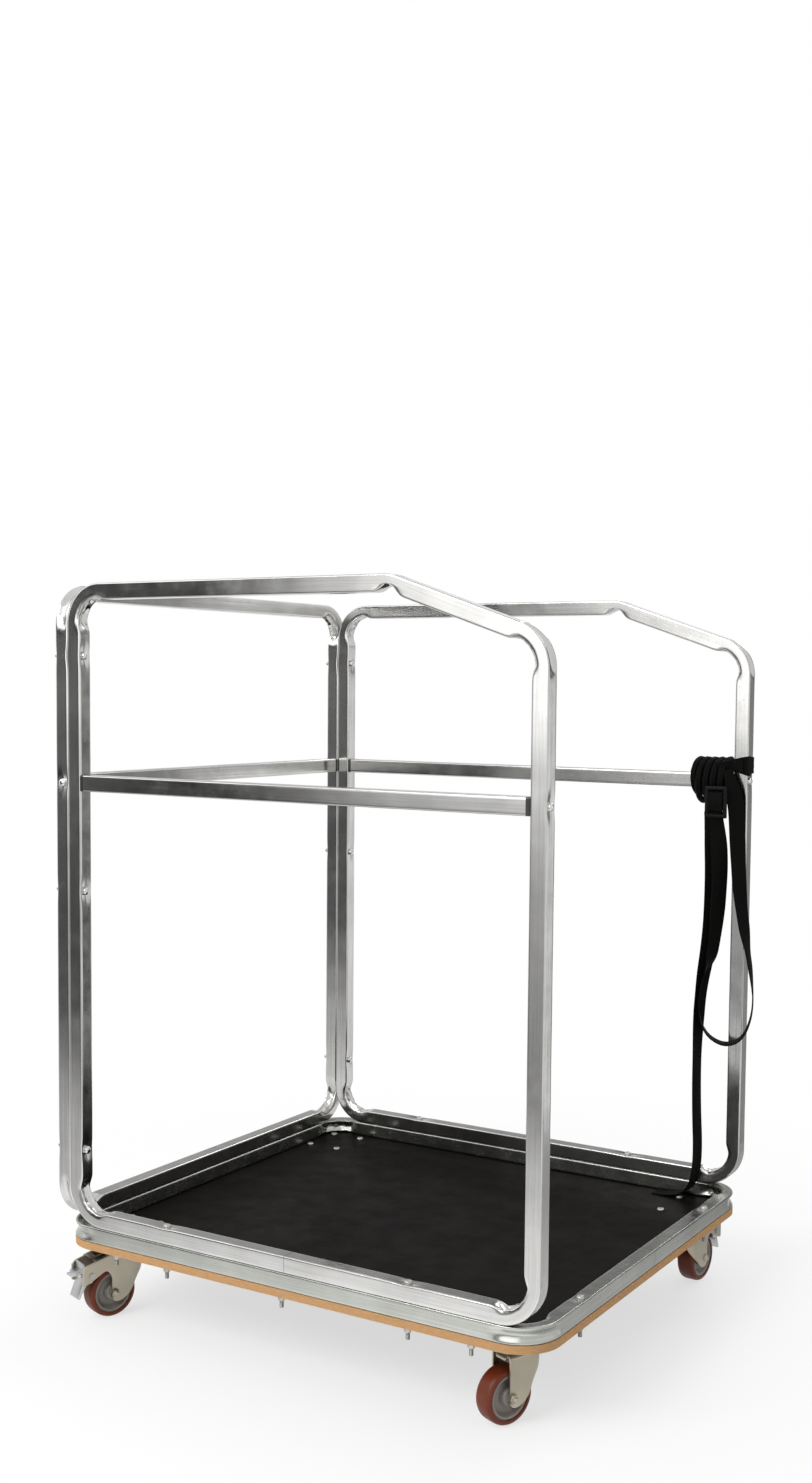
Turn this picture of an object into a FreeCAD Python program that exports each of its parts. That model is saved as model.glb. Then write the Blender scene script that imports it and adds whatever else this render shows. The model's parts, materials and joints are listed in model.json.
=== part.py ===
"""Table trolley: a plywood deck on four swivel castors with a three-sided cage of bent square tube.

Millimetres. The origin is on the floor under the middle of the deck, +X to the open right-hand end,
+Y to the back, +Z up.
"""
import FreeCAD, Part
import math
import os
import re
import Sketcher

# Driving dimensions: name, size, what it measures
SIZES = {
    "tube_width": (25, "outside of the square tube"),
    "tube_wall": (1.5, "wall of the square tube"),
    "tube_corner": (2.5, "outer corner radius of the square tube"),
    "bend_radius": (50, "bend radius on the tube's middle line"),
    "seam_gap": (0.4, "open joint where the two ends of a bent loop meet"),
    "base_length": (855, "deck and base ring, left to right"),
    "base_depth": (760, "deck and base ring, front to back"),
    "deck_thickness": (12, "plywood"),
    "frame_height": (1000, "upright frames, from the base ring to the top"),
    "kink_run": (232, "right post to the kink in the top rail, on middle lines"),
    "shoulder_drop": (79, "fall of the top rail from the kink to the right post"),
    "crossbar_height": (694, "middle of the crossbars above the base ring"),
    "clamp_low": (117, "lowest post bolt above the base ring"),
    "clamp_middle": (526, "middle post bolt above the base ring"),
    "clamp_high": (890, "highest post bolt above the base ring"),
    "rail_bolt_spread": (433, "between the two bolts of a front or rear bottom rail"),
    "ring_bolt_spread": (462, "between the two bolts of the ring's right rail"),
    "hidden_bolt_spread": (636, "between the outer two bolts hidden in a front or rear ring rail"),
    "sleeve_length": (90, "sleeve inside each loop's joint"),
    "sleeve_wall": (2, "wall of the joint sleeve"),
    "sleeve_clearance": (0.2, "sleeve to tube, each side"),
    "plug_flange": (6, "black end plug between crossbar and post"),
    "plug_depth": (24, "plug inside the crossbar"),
    "plug_clearance": (0.2, "plug to tube, each side"),
    "screw_length": (48, "crossbar screw under its head"),
    "bolt_radius": (3, "M6 bolts and screws"),
    "hole_clearance": (0.3, "bolt to hole, radially"),
    "thread_clearance": (0.05, "bolt to nut or plug, radially"),
    "head_radius": (6, "domed bolt head"),
    "head_height": (3.4, "domed bolt head"),
    "head_dome": (2.2, "rounding of the bolt head"),
    "head_room": (0.6, "access hole round a bolt head, radially"),
    "socket_flats": (4, "hexagon socket of the bolt head"),
    "socket_depth": (2, "hexagon socket of the bolt head"),
    "nut_flats": (10, "M6 nut across flats"),
    "nut_height": (8, "M6 lock nut"),
    "washer_radius": (6.2, "M6 washer"),
    "washer_thickness": (1.6, "M6 washer"),
    "bolt_end": (10, "thread that shows past a deck nut"),
    "post_bolt_end": (2, "thread that shows past a post nut"),
    "castor_bolt_end": (1, "thread that shows past a castor nut"),
    "castor_height": (122, "floor to the underside of the deck"),
    "castor_inset_x": (68, "swivel axis from the deck's left and right edges"),
    "castor_inset_y": (88, "swivel axis from the deck's front and rear edges"),
    "castor_trail": (36, "axle behind the swivel axis"),
    "front_left_heading": (250, "front left castor's trail direction, degrees from +X"),
    "front_right_heading": (248, "front right castor's trail direction"),
    "rear_left_heading": (95, "rear left castor's trail direction"),
    "rear_right_heading": (85, "rear right castor's trail direction"),
    "wheel_diameter": (80, "over the tread"),
    "wheel_width": (30, "tread and hub"),
    "tread_thickness": (8, "tread on the hub"),
    "tread_shoulder": (7, "rounding of the tread's edges"),
    "rim_thickness": (4, "hub's rim under the tread"),
    "rim_slope": (5, "cone between the rim and the web"),
    "rim_setback": (1.5, "rim inside the tread's face"),
    "web_thickness": (8, "hub's web"),
    "boss_radius": (12, "hub's boss"),
    "axle_radius": (4, "axle bolt"),
    "axle_head_radius": (7, "axle bolt head"),
    "axle_head_height": (4, "axle bolt head"),
    "axle_nut_flats": (13, "axle nut"),
    "axle_nut_height": (6.5, "axle nut"),
    "bush_radius": (6, "axle sleeve that the hub turns on"),
    "running_clearance": (0.05, "turning fits, radially"),
    "fork_sheet": (2.5, "pressed sheet of the fork"),
    "fork_gap": (2.5, "wheel to fork leg"),
    "fork_lead": (17, "crown ahead of the swivel axis"),
    "fork_bend": (5, "rounding along the crown's edges"),
    "leg_behind": (6, "leg's upright rear edge behind the axle"),
    "leg_below": (14, "leg's foot below the axle"),
    "leg_ahead": (17, "leg's foot ahead of the axle"),
    "leg_radius": (9, "rounding of the leg's foot"),
    "leg_knee": (39, "upright front edge of the leg below the crown"),
    "plate_length": (100, "castor plate, front to back"),
    "plate_width": (85, "castor plate, left to right"),
    "plate_thickness": (3, "castor plate"),
    "plate_corner": (8, "castor plate corner radius"),
    "plate_hole_length": (80, "plate bolts, front to back"),
    "plate_hole_width": (60, "plate bolts, left to right"),
    "race_height": (10, "plate to fork crown"),
    "race_step": (2, "raised ball tracks"),
    "race_radius": (22, "ball tracks, outside"),
    "ball_pitch_radius": (16, "ring of balls"),
    "ball_clearance": (0.1, "ball to each track"),
    "skirt_radius": (27, "dust skirt under the plate"),
    "skirt_wall": (2, "dust skirt"),
    "skirt_gap": (1.2, "dust skirt to fork crown"),
    "kingpin_radius": (5, "swivel pin"),
    "kingpin_head_radius": (9, "swivel pin head under the crown"),
    "kingpin_head_height": (3.5, "swivel pin head"),
    "arm_reach": (56, "brake arms' end behind the axle"),
    "arm_depth": (38, "height of the brake arms' end"),
    "arm_slope": (14, "fall of the arms' top from the crown to their end"),
    "arm_rise": (26, "rise of the arms' lower edge from their end to the leg"),
    "roof_reach": (36, "sheet roof between the arms, behind the axle"),
    "pin_reach": (40, "brake pin behind the axle"),
    "pin_rise": (36, "brake pin above the axle"),
    "pin_radius": (2.5, "brake pin"),
    "pin_head_radius": (4.5, "brake pin heads"),
    "pin_head_height": (1.6, "brake pin heads"),
    "pedal_side_gap": (1, "pedal to each arm"),
    "pedal_boss": (6, "pedal round its pin"),
    "pedal_sheet": (3.5, "pedal toes and rib"),
    "pedal_rib": (19, "upright rib of the pedal above the pin"),
    "upper_toe": (30, "upper toe beyond the pin"),
    "lower_toe_out": (22, "lower toe's end beyond the pin"),
    "lower_toe_drop": (36, "lower toe's end below the pin"),
    "shoe_drop": (13, "brake shoe below the pin"),
    "strap_width": (28, "webbing"),
    "strap_thickness": (1.8, "webbing"),
    "strap_clearance": (0.3, "webbing to tube"),
    "strap_contact": (0.03, "wound strap to the corners of its crossbar"),
    "strap_roll": (12, "webbing folded lengthwise where it is wound up"),
    "strap_pitch": (12.8, "from turn to turn of the wound strap"),
    "buckle_width": (38, "slide buckle"),
    "buckle_length": (53, "slide buckle"),
    "buckle_thickness": (9, "slide buckle"),
    "buckle_bar": (6, "bars and rim of the slide buckle"),
    "buckle_gap": (1, "buckle to the wound strap"),
    "buckle_side": (30, "left side of the slide buckle to the end of the loop"),
}

# Places worked out from the driving dimensions
PLACES = {
    "edge_right": "base_length / 2",
    "edge_back": "base_depth / 2",
    "tube_half": "tube_width / 2",
    "tube_reach": "tube_half * sqrt(2) - tube_corner * (sqrt(2) - 1)",
    "deck_top": "castor_height + deck_thickness",
    "ring_middle": "deck_top + tube_half",
    "ring_top": "deck_top + tube_width",
    "rail_low": "ring_top + tube_half",
    "frame_top": "ring_top + frame_height",
    "rail_high": "frame_top - tube_half",
    "post_right": "edge_right - tube_half",
    "side_post": "tube_half - edge_right",
    "post_left": "side_post + tube_width",
    "post_back": "edge_back - tube_half",
    "seam": "(post_left + post_right) / 2",
    "crossbar_middle": "ring_top + crossbar_height",
    "hole_radius": "bolt_radius + hole_clearance",
    "access_radius": "head_radius + head_room",
    "drill_length": "tube_width + 2",
    "wheel_radius": "wheel_diameter / 2",
    "hub_radius": "wheel_radius - tread_thickness",
    "castor_x": "edge_right - castor_inset_x",
    "castor_y": "edge_back - castor_inset_y",
    "plate_bottom": "castor_height - plate_thickness",
    "crown_top": "plate_bottom - race_height",
    "crown_under": "crown_top - fork_sheet",
    "fork_inside": "wheel_width + 2 * fork_gap",
    "fork_outside": "fork_inside + 2 * fork_sheet",
    "leg_back": "castor_trail + leg_behind",
    "foot": "wheel_radius - leg_below",
    "arm_end": "castor_trail + arm_reach",
    "arm_top": "crown_top - arm_slope",
    "arm_under": "arm_top - arm_depth",
    "roof_end": "castor_trail + roof_reach",
    "roof_under": "crown_under - arm_slope * (roof_end - leg_back) / (arm_end - leg_back)",
    "pin_x": "castor_trail + pin_reach",
    "pin_z": "wheel_radius + pin_rise",
    "pedal_width": "fork_inside - 2 * pedal_side_gap",
}

CASTORS = {
    "front_left": (-1, -1, "front_left_heading", True),
    "front_right": (1, -1, "front_right_heading", False),
    "rear_left": (-1, 1, "rear_left_heading", False),
    "rear_right": (1, 1, "rear_right_heading", True),
}
BALL_COUNT = 14
STRAP_TURNS = 4

doc = FreeCAD.newDocument("TableTrolley")
sheet = doc.addObject("Spreadsheet::Sheet", "Sizes")
for row, (alias, (size, meaning)) in enumerate(SIZES.items(), start=1):
    sheet.set(f"A{row}", alias)
    sheet.set(f"B{row}", str(size))
    sheet.setAlias(f"B{row}", alias)
    sheet.set(f"C{row}", meaning)
doc.recompute()

subparts = []


def formula(text):
    """Spell out the named places and sizes in an expression."""
    def spelled(match):
        word = match.group(0)
        if word in PLACES:
            return "(" + formula(PLACES[word]) + ")"
        return "Sizes." + word if word in SIZES else word
    return re.sub(r"[a-z][a-z_]*", spelled, text)


def value(text):
    return float(sheet.evalExpression(formula(text)))


def point(x, y, z):
    return FreeCAD.Vector(value(x), value(y), value(z))


def bind(item, **expressions):
    """Tie properties to the sheet; two underscores in a name stand for a dot."""
    for name, text in expressions.items():
        item.setExpression(name.replace("__", "."), formula(text))


# Sketches and features

def new_body(label, x="0", y="0", z="0", turn=None):
    """A body at a place tied to the sheet, turned about +Z by the angle of that name."""
    body = doc.addObject("PartDesign::Body", label)
    body.Label = label
    if turn:
        body.Placement = FreeCAD.Placement(FreeCAD.Vector(), FreeCAD.Rotation(FreeCAD.Vector(0, 0, 1), 1))
        bind(body, Placement__Rotation__Angle=turn)
    bind(body, Placement__Base__x=x, Placement__Base__y=y, Placement__Base__z=z)
    subparts.append(body)
    return body


def attach(item, body, plane, offset):
    role = plane + "_Plane"
    item.AttachmentSupport = [(next(f for f in body.Origin.OriginFeatures if f.Role == role), "")]
    item.MapMode = "FlatFace"
    bind(item, AttachmentOffset__Base__x=offset[0], AttachmentOffset__Base__y=offset[1],
         AttachmentOffset__Base__z=offset[2])


def new_sketch(body, name, plane, offset=("0", "0", "0")):
    sketch = body.newObject("Sketcher::SketchObject", name)
    attach(sketch, body, plane, offset)
    return sketch


def fix(sketch, kind, text, *geometry):
    index = sketch.addConstraint(Sketcher.Constraint(kind, *geometry, value(text)))
    sketch.setExpression(f"Constraints[{index}]", formula(text))


def fix_point(sketch, geometry, end, corner):
    fix(sketch, "DistanceX", corner[0], -1, 1, geometry, end)
    fix(sketch, "DistanceY", corner[1], -1, 1, geometry, end)


def trace(sketch, corners, closed=True):
    """Draw straight runs between corners (u, v, radius), with a tangent arc at each rounded corner."""
    count = len(corners)
    points = [FreeCAD.Vector(value(c[0]), value(c[1]), 0) for c in corners]
    radii = [value(c[2]) if len(c) > 2 else 0 for c in corners]
    runs = [(points[(i + 1) % count] - points[i]).normalize() for i in range(count)]
    setbacks = [r * math.tan(runs[i - 1].getAngle(runs[i]) / 2) if r else 0 for i, r in enumerate(radii)]
    lines = []
    for i in range(count if closed else count - 1):
        start = points[i] + runs[i] * setbacks[i]
        end = points[(i + 1) % count] - runs[i] * setbacks[(i + 1) % count]
        lines.append(sketch.addGeometry(Part.LineSegment(start, end), False))
    if not closed:
        fix_point(sketch, lines[0], 1, corners[0])
        fix_point(sketch, lines[-1], 2, corners[-1])
    for i in range(count) if closed else range(1, count - 1):
        before, after = lines[i - 1], lines[i]
        if not radii[i]:
            sketch.addConstraint(Sketcher.Constraint("Coincident", before, 2, after, 1))
            fix_point(sketch, after, 1, corners[i])
            continue
        mark = sketch.addGeometry(Part.Point(points[i]), True)
        fix_point(sketch, mark, 1, corners[i])
        sketch.addConstraint(Sketcher.Constraint("PointOnObject", mark, 1, before))
        sketch.addConstraint(Sketcher.Constraint("PointOnObject", mark, 1, after))
        turns_left = runs[i - 1].cross(runs[i]).z > 0
        inward = FreeCAD.Vector(-runs[i - 1].y, runs[i - 1].x, 0) * (1 if turns_left else -1)
        start = points[i] - runs[i - 1] * setbacks[i]
        end = points[i] + runs[i] * setbacks[i]
        centre = start + inward * radii[i]
        angles = [math.atan2(p.y - centre.y, p.x - centre.x) for p in (start, end)]
        if not turns_left:
            angles.reverse()
        circle = Part.Circle(centre, FreeCAD.Vector(0, 0, 1), radii[i])
        arc = sketch.addGeometry(Part.ArcOfCircle(circle, *angles), False)
        first, second = (1, 2) if turns_left else (2, 1)
        sketch.addConstraint(Sketcher.Constraint("Tangent", before, 2, arc, first))
        sketch.addConstraint(Sketcher.Constraint("Tangent", arc, second, after, 1))
        fix(sketch, "Radius", corners[i][2], arc)


def trace_box(sketch, half_u, half_v, radius):
    trace(sketch, [(f"0 - ({half_u})", f"0 - ({half_v})", radius), (half_u, f"0 - ({half_v})", radius),
                   (half_u, half_v, radius), (f"0 - ({half_u})", half_v, radius)])


def trace_circle(sketch, u, v, radius):
    centre = FreeCAD.Vector(value(u), value(v), 0)
    circle = sketch.addGeometry(Part.Circle(centre, FreeCAD.Vector(0, 0, 1), value(radius)), False)
    fix_point(sketch, circle, 3, (u, v))
    fix(sketch, "Radius", radius, circle)


def trace_tube(sketch):
    trace_box(sketch, "tube_half", "tube_half", "tube_corner")
    trace_box(sketch, "tube_half - tube_wall", "tube_half - tube_wall", "tube_corner - tube_wall")


def pad(body, sketch, length, midplane=False, pocket=False):
    name = "Pocket" if pocket else "Pad"
    feature = body.newObject("PartDesign::" + name, name.lower())
    feature.Profile = sketch
    bind(feature, Length=length)
    feature.SideType = "Symmetric" if midplane else "One side"
    return feature


def revolve(body, sketch):
    feature = body.newObject("PartDesign::Revolution", "turned")
    feature.Profile = sketch
    feature.ReferenceAxis = (sketch, ["H_Axis"])
    feature.Angle = 360
    return feature


def drill(body, axis, x, y, z, radius, length, kind="Subtractive"):
    """Cut, or add, a cylinder that runs from a point along +X, +Y or +Z."""
    plane, offset = {
        "X": ("YZ", (y, z, x)),
        "Y": ("XZ", (x, z, f"0 - ({y}) - ({length})")),
        "Z": ("XY", (x, y, z)),
    }[axis]
    cylinder = body.newObject(f"PartDesign::{kind}Cylinder", "hole")
    attach(cylinder, body, plane, offset)
    bind(cylinder, Radius=radius, Height=length)


def new_group(label, solids):
    """Separate solids of one kind as one named sub-part."""
    feature = doc.addObject("Part::Feature", label)
    feature.Label = label
    feature.Shape = Part.makeCompound(solids) if len(solids) > 1 else solids[0]
    subparts.append(feature)
    return feature


def placed(solid, base, axis=(0, 0, 1), turn=None):
    """A copy whose own +Z points along axis, first turned about its +Z."""
    copy = solid.copy()
    rotation = FreeCAD.Rotation(FreeCAD.Vector(0, 0, 1), FreeCAD.Vector(*axis))
    if turn is not None:
        rotation = rotation.multiply(FreeCAD.Rotation(FreeCAD.Vector(0, 0, 1), turn))
    copy.Placement = FreeCAD.Placement(base, rotation)
    return copy


# Deck

def fixing_points():
    """Where the base ring is bolted down: through a frame's rail, the ring alone, or inside the ring."""
    through = [(f"{sx} * rail_bolt_spread / 2", f"{sy} * post_back") for sx in (-1, 1) for sy in (-1, 1)]
    ring_only = [("post_right", f"{sy} * ring_bolt_spread / 2") for sy in (-1, 1)]
    inside = [(f"{sx} * hidden_bolt_spread / 2", f"{sy} * post_back") for sx in (-1, 0, 1) for sy in (-1, 1)]
    inside.append(("side_post", "0"))
    return through, ring_only, inside


def castor_points():
    return [(f"{sx} * castor_x", f"{sy} * castor_y") for sx, sy, heading, braked in CASTORS.values()]


def castor_bolt_points():
    return [(f"{x} + {sx} * plate_hole_width / 2", f"{y} + {sy} * plate_hole_length / 2")
            for x, y in castor_points() for sx in (-1, 1) for sy in (-1, 1)]


def build_deck():
    body = new_body("deck_board", z="castor_height")
    sketch = new_sketch(body, "board", "XY")
    trace_box(sketch, "edge_right", "edge_back", "bend_radius + tube_half")
    through, ring_only, inside = fixing_points()
    for x, y in through + ring_only + inside + castor_bolt_points():
        trace_circle(sketch, x, y, "hole_radius")
    pad(body, sketch, "deck_thickness")


# Bent tube loops

def bent_tube(body, path_plane, corners, profile_plane, profile_offset):
    spine = new_sketch(body, "path", path_plane)
    trace(spine, corners, closed=False)
    profile = new_sketch(body, "profile", profile_plane, profile_offset)
    trace_tube(profile)
    tube = body.newObject("PartDesign::AdditivePipe", "tube")
    tube.Profile = profile
    tube.Spine = spine


def build_base_ring():
    body = new_body("base_ring", z="ring_middle")
    bend = "bend_radius"
    corners = [("post_right", "seam_gap / 2"), ("post_right", "post_back", bend),
               ("side_post", "post_back", bend),
               ("side_post", "0 - post_back", bend), ("post_right", "0 - post_back", bend),
               ("post_right", "0 - seam_gap / 2")]
    bent_tube(body, "XY", corners, "XZ", ("post_right", "0", "0 - seam_gap / 2"))
    through, ring_only, inside = fixing_points()
    for x, y in through + ring_only:
        drill(body, "Z", x, y, "0 - drill_length / 2", "hole_radius", "drill_length")
    for x, y in inside:
        drill(body, "Z", x, y, "0 - drill_length / 2", "hole_radius", "drill_length / 2")
        drill(body, "Z", x, y, "0", "access_radius", "drill_length / 2")


def build_end_frame(label, side):
    """Front or rear frame: the top rail kinks and slopes down to the shorter right post."""
    body = new_body(label, y=f"{side} * post_back")
    bend = "bend_radius"
    corners = [("seam + seam_gap / 2", "rail_low"), ("post_right", "rail_low", bend),
               ("post_right", "rail_high - shoulder_drop", bend),
               ("post_right - kink_run", "rail_high", bend),
               ("post_left", "rail_high", bend), ("post_left", "rail_low", bend),
               ("seam - seam_gap / 2", "rail_low")]
    bent_tube(body, "XZ", corners, "YZ", ("0", "rail_low", "seam + seam_gap / 2"))
    for sx in (-1, 1):
        drill(body, "Z", f"{sx} * rail_bolt_spread / 2", "0", "rail_low - drill_length / 2", "hole_radius",
              "drill_length")
    for height in ("clamp_low", "clamp_middle", "clamp_high", "crossbar_height"):
        drill(body, "X", "post_left - drill_length / 2", "0", f"ring_top + {height}", "hole_radius",
              "drill_length")
    drill(body, "X", "post_right - drill_length / 2", "0", "crossbar_middle", "hole_radius", "drill_length")


def build_side_frame():
    body = new_body("side_frame", x="side_post")
    bend = "bend_radius"
    corners = [("seam_gap / 2", "rail_low"), ("post_back", "rail_low", bend),
               ("post_back", "rail_high", bend),
               ("0 - post_back", "rail_high", bend), ("0 - post_back", "rail_low", bend),
               ("0 - seam_gap / 2", "rail_low")]
    bent_tube(body, "YZ", corners, "XZ", ("0", "rail_low", "0 - seam_gap / 2"))
    for sy in (-1, 1):
        for height in ("clamp_low", "clamp_middle", "clamp_high"):
            drill(body, "X", "0 - drill_length / 2", f"{sy} * post_back", f"ring_top + {height}",
                  "hole_radius", "drill_length")
        drill(body, "Y", "0", f"{sy} * post_back - drill_length / 2", "crossbar_middle", "hole_radius",
              "drill_length")
        drill(body, "X", "0", f"{sy} * post_back", "crossbar_middle", "access_radius", "drill_length / 2")


def build_joint_sleeves():
    half = value("tube_half - tube_wall - sleeve_clearance")
    hollow = half - value("sleeve_wall")
    length = value("sleeve_length")
    outer = Part.makeBox(2 * half, 2 * half, length, FreeCAD.Vector(-half, -half, -length / 2))
    rounded = value("tube_corner - tube_wall")
    outer = outer.makeFillet(rounded, [e for e in outer.Edges if abs(e.tangentAt(e.FirstParameter).z) > 0.5])
    inner = Part.makeBox(2 * hollow, 2 * hollow, length, FreeCAD.Vector(-hollow, -hollow, -length / 2))
    sleeve = outer.cut(inner)
    new_group("joint_sleeves", [
        placed(sleeve, point("seam", "0 - post_back", "rail_low"), (1, 0, 0)),
        placed(sleeve, point("seam", "post_back", "rail_low"), (1, 0, 0)),
        placed(sleeve, point("side_post", "0", "rail_low"), (0, 1, 0)),
        placed(sleeve, point("post_right", "0", "ring_middle"), (0, 1, 0)),
    ])


# Crossbars

def build_crossbars():
    for label, side in (("front_crossbar", -1), ("rear_crossbar", 1)):
        body = new_body(label, x="seam", y=f"{side} * post_back", z="crossbar_middle")
        sketch = new_sketch(body, "section", "YZ")
        trace_tube(sketch)
        pad(body, sketch, "post_right - post_left - tube_width - 2 * plug_flange", midplane=True)
    body = new_body("side_crossbar", x="side_post", z="crossbar_middle")
    sketch = new_sketch(body, "section", "XZ")
    trace_tube(sketch)
    pad(body, sketch, "2 * post_back - tube_width - 2 * plug_flange", midplane=True)


def crossbar_ends():
    """The post face that each crossbar end stands on, and the way from there into the crossbar."""
    ends = []
    for side in (-1, 1):
        ends.append((point("post_left + tube_half", f"{side} * post_back", "crossbar_middle"), (1, 0, 0)))
        ends.append((point("post_right - tube_half", f"{side} * post_back", "crossbar_middle"), (-1, 0, 0)))
        end = point("side_post", f"{side} * (post_back - tube_half)", "crossbar_middle")
        ends.append((end, (0, -side, 0)))
    return ends


def build_end_plugs():
    half = value("tube_half")
    flange = Part.makeBox(2 * half, 2 * half, value("plug_flange"), FreeCAD.Vector(-half, -half, 0))
    flange = flange.makeFillet(value("tube_corner"), [e for e in flange.Edges if abs(e.tangentAt(0).z) > 0.5])
    inner = value("tube_half - tube_wall - plug_clearance")
    depth = value("plug_depth")
    insert = Part.makeBox(2 * inner, 2 * inner, depth, FreeCAD.Vector(-inner, -inner, value("plug_flange")))
    insert = insert.makeFillet(value("tube_corner - tube_wall"),
                               [e for e in insert.Edges if abs(e.tangentAt(0).z) > 0.5])
    bore = Part.makeCylinder(value("bolt_radius + thread_clearance"), value("plug_flange") + depth)
    plug = flange.fuse(insert).cut(bore)
    new_group("crossbar_plugs", [placed(plug, base, way) for base, way in crossbar_ends()])


# Fasteners

def hexagon(flats, height):
    radius = flats / math.sqrt(3)
    turns = [math.radians(60 * i) for i in range(7)]
    corners = [FreeCAD.Vector(radius * math.cos(turn), radius * math.sin(turn), 0) for turn in turns]
    return Part.Face(Part.makePolygon(corners)).extrude(FreeCAD.Vector(0, 0, height))


def domed_bolt(length, radius="bolt_radius", head="head_radius", height="head_height"):
    """The shank runs down from the origin and the domed socket head stands on it."""
    dome = Part.makeCylinder(value(head), value(height))
    top = [e for e in dome.Edges if len(e.Vertexes) == 1 and e.CenterOfMass.z > value(height) / 2]
    dome = dome.makeFillet(value("head_dome"), top)
    depth = value("socket_depth")
    socket = hexagon(value("socket_flats"), depth)
    socket.translate(FreeCAD.Vector(0, 0, value(height) - depth))
    shank = Part.makeCylinder(value(radius), length, FreeCAD.Vector(0, 0, -length))
    return dome.cut(socket).fuse(shank).removeSplitter()


def nut(flats="nut_flats", height="nut_height", radius="bolt_radius"):
    """A hexagon nut with turned corners, its flat face down."""
    tall = value(height)
    block = hexagon(value(flats), tall)
    across = value(flats) / math.sqrt(3)
    cone = Part.makeCone(across + tall, value(flats) / 2 * 0.96, tall)
    bore = Part.makeCylinder(value(f"{radius} + thread_clearance"), tall)
    return block.common(cone).cut(bore)


def washer():
    thick = value("washer_thickness")
    ring = Part.makeCylinder(value("washer_radius"), thick)
    return ring.cut(Part.makeCylinder(value("hole_radius"), thick))


def build_crossbar_screws():
    screw = domed_bolt(value("screw_length"))
    solids = []
    for base, way in crossbar_ends():
        inward = FreeCAD.Vector(*way)
        solids.append(placed(screw, base - inward * value("tube_width"), tuple(-inward)))
    new_group("crossbar_screws", solids)


def build_post_bolts():
    grip = value("2 * tube_width + nut_height + post_bolt_end")
    bolts, nuts = [], []
    for side in (-1, 1):
        for height in ("clamp_low", "clamp_middle", "clamp_high"):
            head = point("post_left + tube_half", f"{side} * post_back", f"ring_top + {height}")
            bolts.append(placed(domed_bolt(grip), head, (1, 0, 0)))
            nuts.append(placed(nut(), head - FreeCAD.Vector(value("2 * tube_width"), 0, 0), (-1, 0, 0)))
    new_group("post_bolts", bolts)
    new_group("post_nuts", nuts)


def build_deck_bolts():
    through, ring_only, inside = fixing_points()
    below = "castor_height - washer_thickness - nut_height - bolt_end"
    bolts, nuts, washers = [], [], []
    for group, seat in ((through, "ring_top + tube_width"), (ring_only, "ring_top"),
                        (inside, "deck_top + tube_wall")):
        for x, y in group:
            bolts.append(placed(domed_bolt(value(f"{seat} - ({below})")), point(x, y, seat)))
            washers.append(placed(washer(), point(x, y, "castor_height - washer_thickness")))
            nuts.append(placed(nut(), point(x, y, "castor_height - washer_thickness"), (0, 0, -1)))
    new_group("deck_bolts", bolts)
    new_group("deck_washers", washers)
    new_group("deck_nuts", nuts)


def build_castor_bolts():
    bolt = domed_bolt(value("deck_thickness + plate_thickness + nut_height + castor_bolt_end"))
    spots = castor_bolt_points()
    new_group("castor_bolts", [placed(bolt, point(x, y, "deck_top")) for x, y in spots])
    new_group("castor_nuts", [placed(nut(), point(x, y, "plate_bottom"), (0, 0, -1)) for x, y in spots])


# Castors

def build_castor_plates():
    """Bolted plates, each with its upper ball track and dust skirt."""
    half_x, half_y = value("plate_width / 2"), value("plate_length / 2")
    thick = value("plate_thickness")
    plate = Part.makeBox(2 * half_x, 2 * half_y, thick, FreeCAD.Vector(-half_x, -half_y, 0))
    plate = plate.makeFillet(value("plate_corner"), [e for e in plate.Edges if abs(e.tangentAt(0).z) > 0.5])
    down = FreeCAD.Vector(0, 0, -1)
    track = Part.makeCylinder(value("race_radius"), value("race_step"), FreeCAD.Vector(), down)
    drop = value("race_height - skirt_gap")
    skirt = Part.makeCylinder(value("skirt_radius"), drop, FreeCAD.Vector(), down)
    skirt = skirt.cut(Part.makeCylinder(value("skirt_radius - skirt_wall"), drop, FreeCAD.Vector(), down))
    plate = plate.fuse([track, skirt])
    pin_depth = value("plate_thickness + race_height")
    cutters = [Part.makeCylinder(value("kingpin_radius"), 2 * pin_depth, FreeCAD.Vector(0, 0, -pin_depth))]
    for sx in (-1, 1):
        for sy in (-1, 1):
            corner = point(f"{sx} * plate_hole_width / 2", f"{sy} * plate_hole_length / 2", "0")
            cutters.append(Part.makeCylinder(value("hole_radius"), thick, corner))
    plate = plate.cut(cutters)
    new_group("castor_plates", [placed(plate, point(x, y, "plate_bottom")) for x, y in castor_points()])


def build_kingpins():
    head_top = value("crown_under - running_clearance")
    shank = Part.makeCylinder(value("kingpin_radius"), value("castor_height") - head_top)
    down = FreeCAD.Vector(0, 0, -1)
    head_radius, head_height = value("kingpin_head_radius"), value("kingpin_head_height")
    head = Part.makeCylinder(head_radius, head_height, FreeCAD.Vector(), down)
    pin = shank.fuse(head).removeSplitter()
    new_group("castor_kingpins", [placed(pin, point(x, y, str(head_top))) for x, y in castor_points()])


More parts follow.
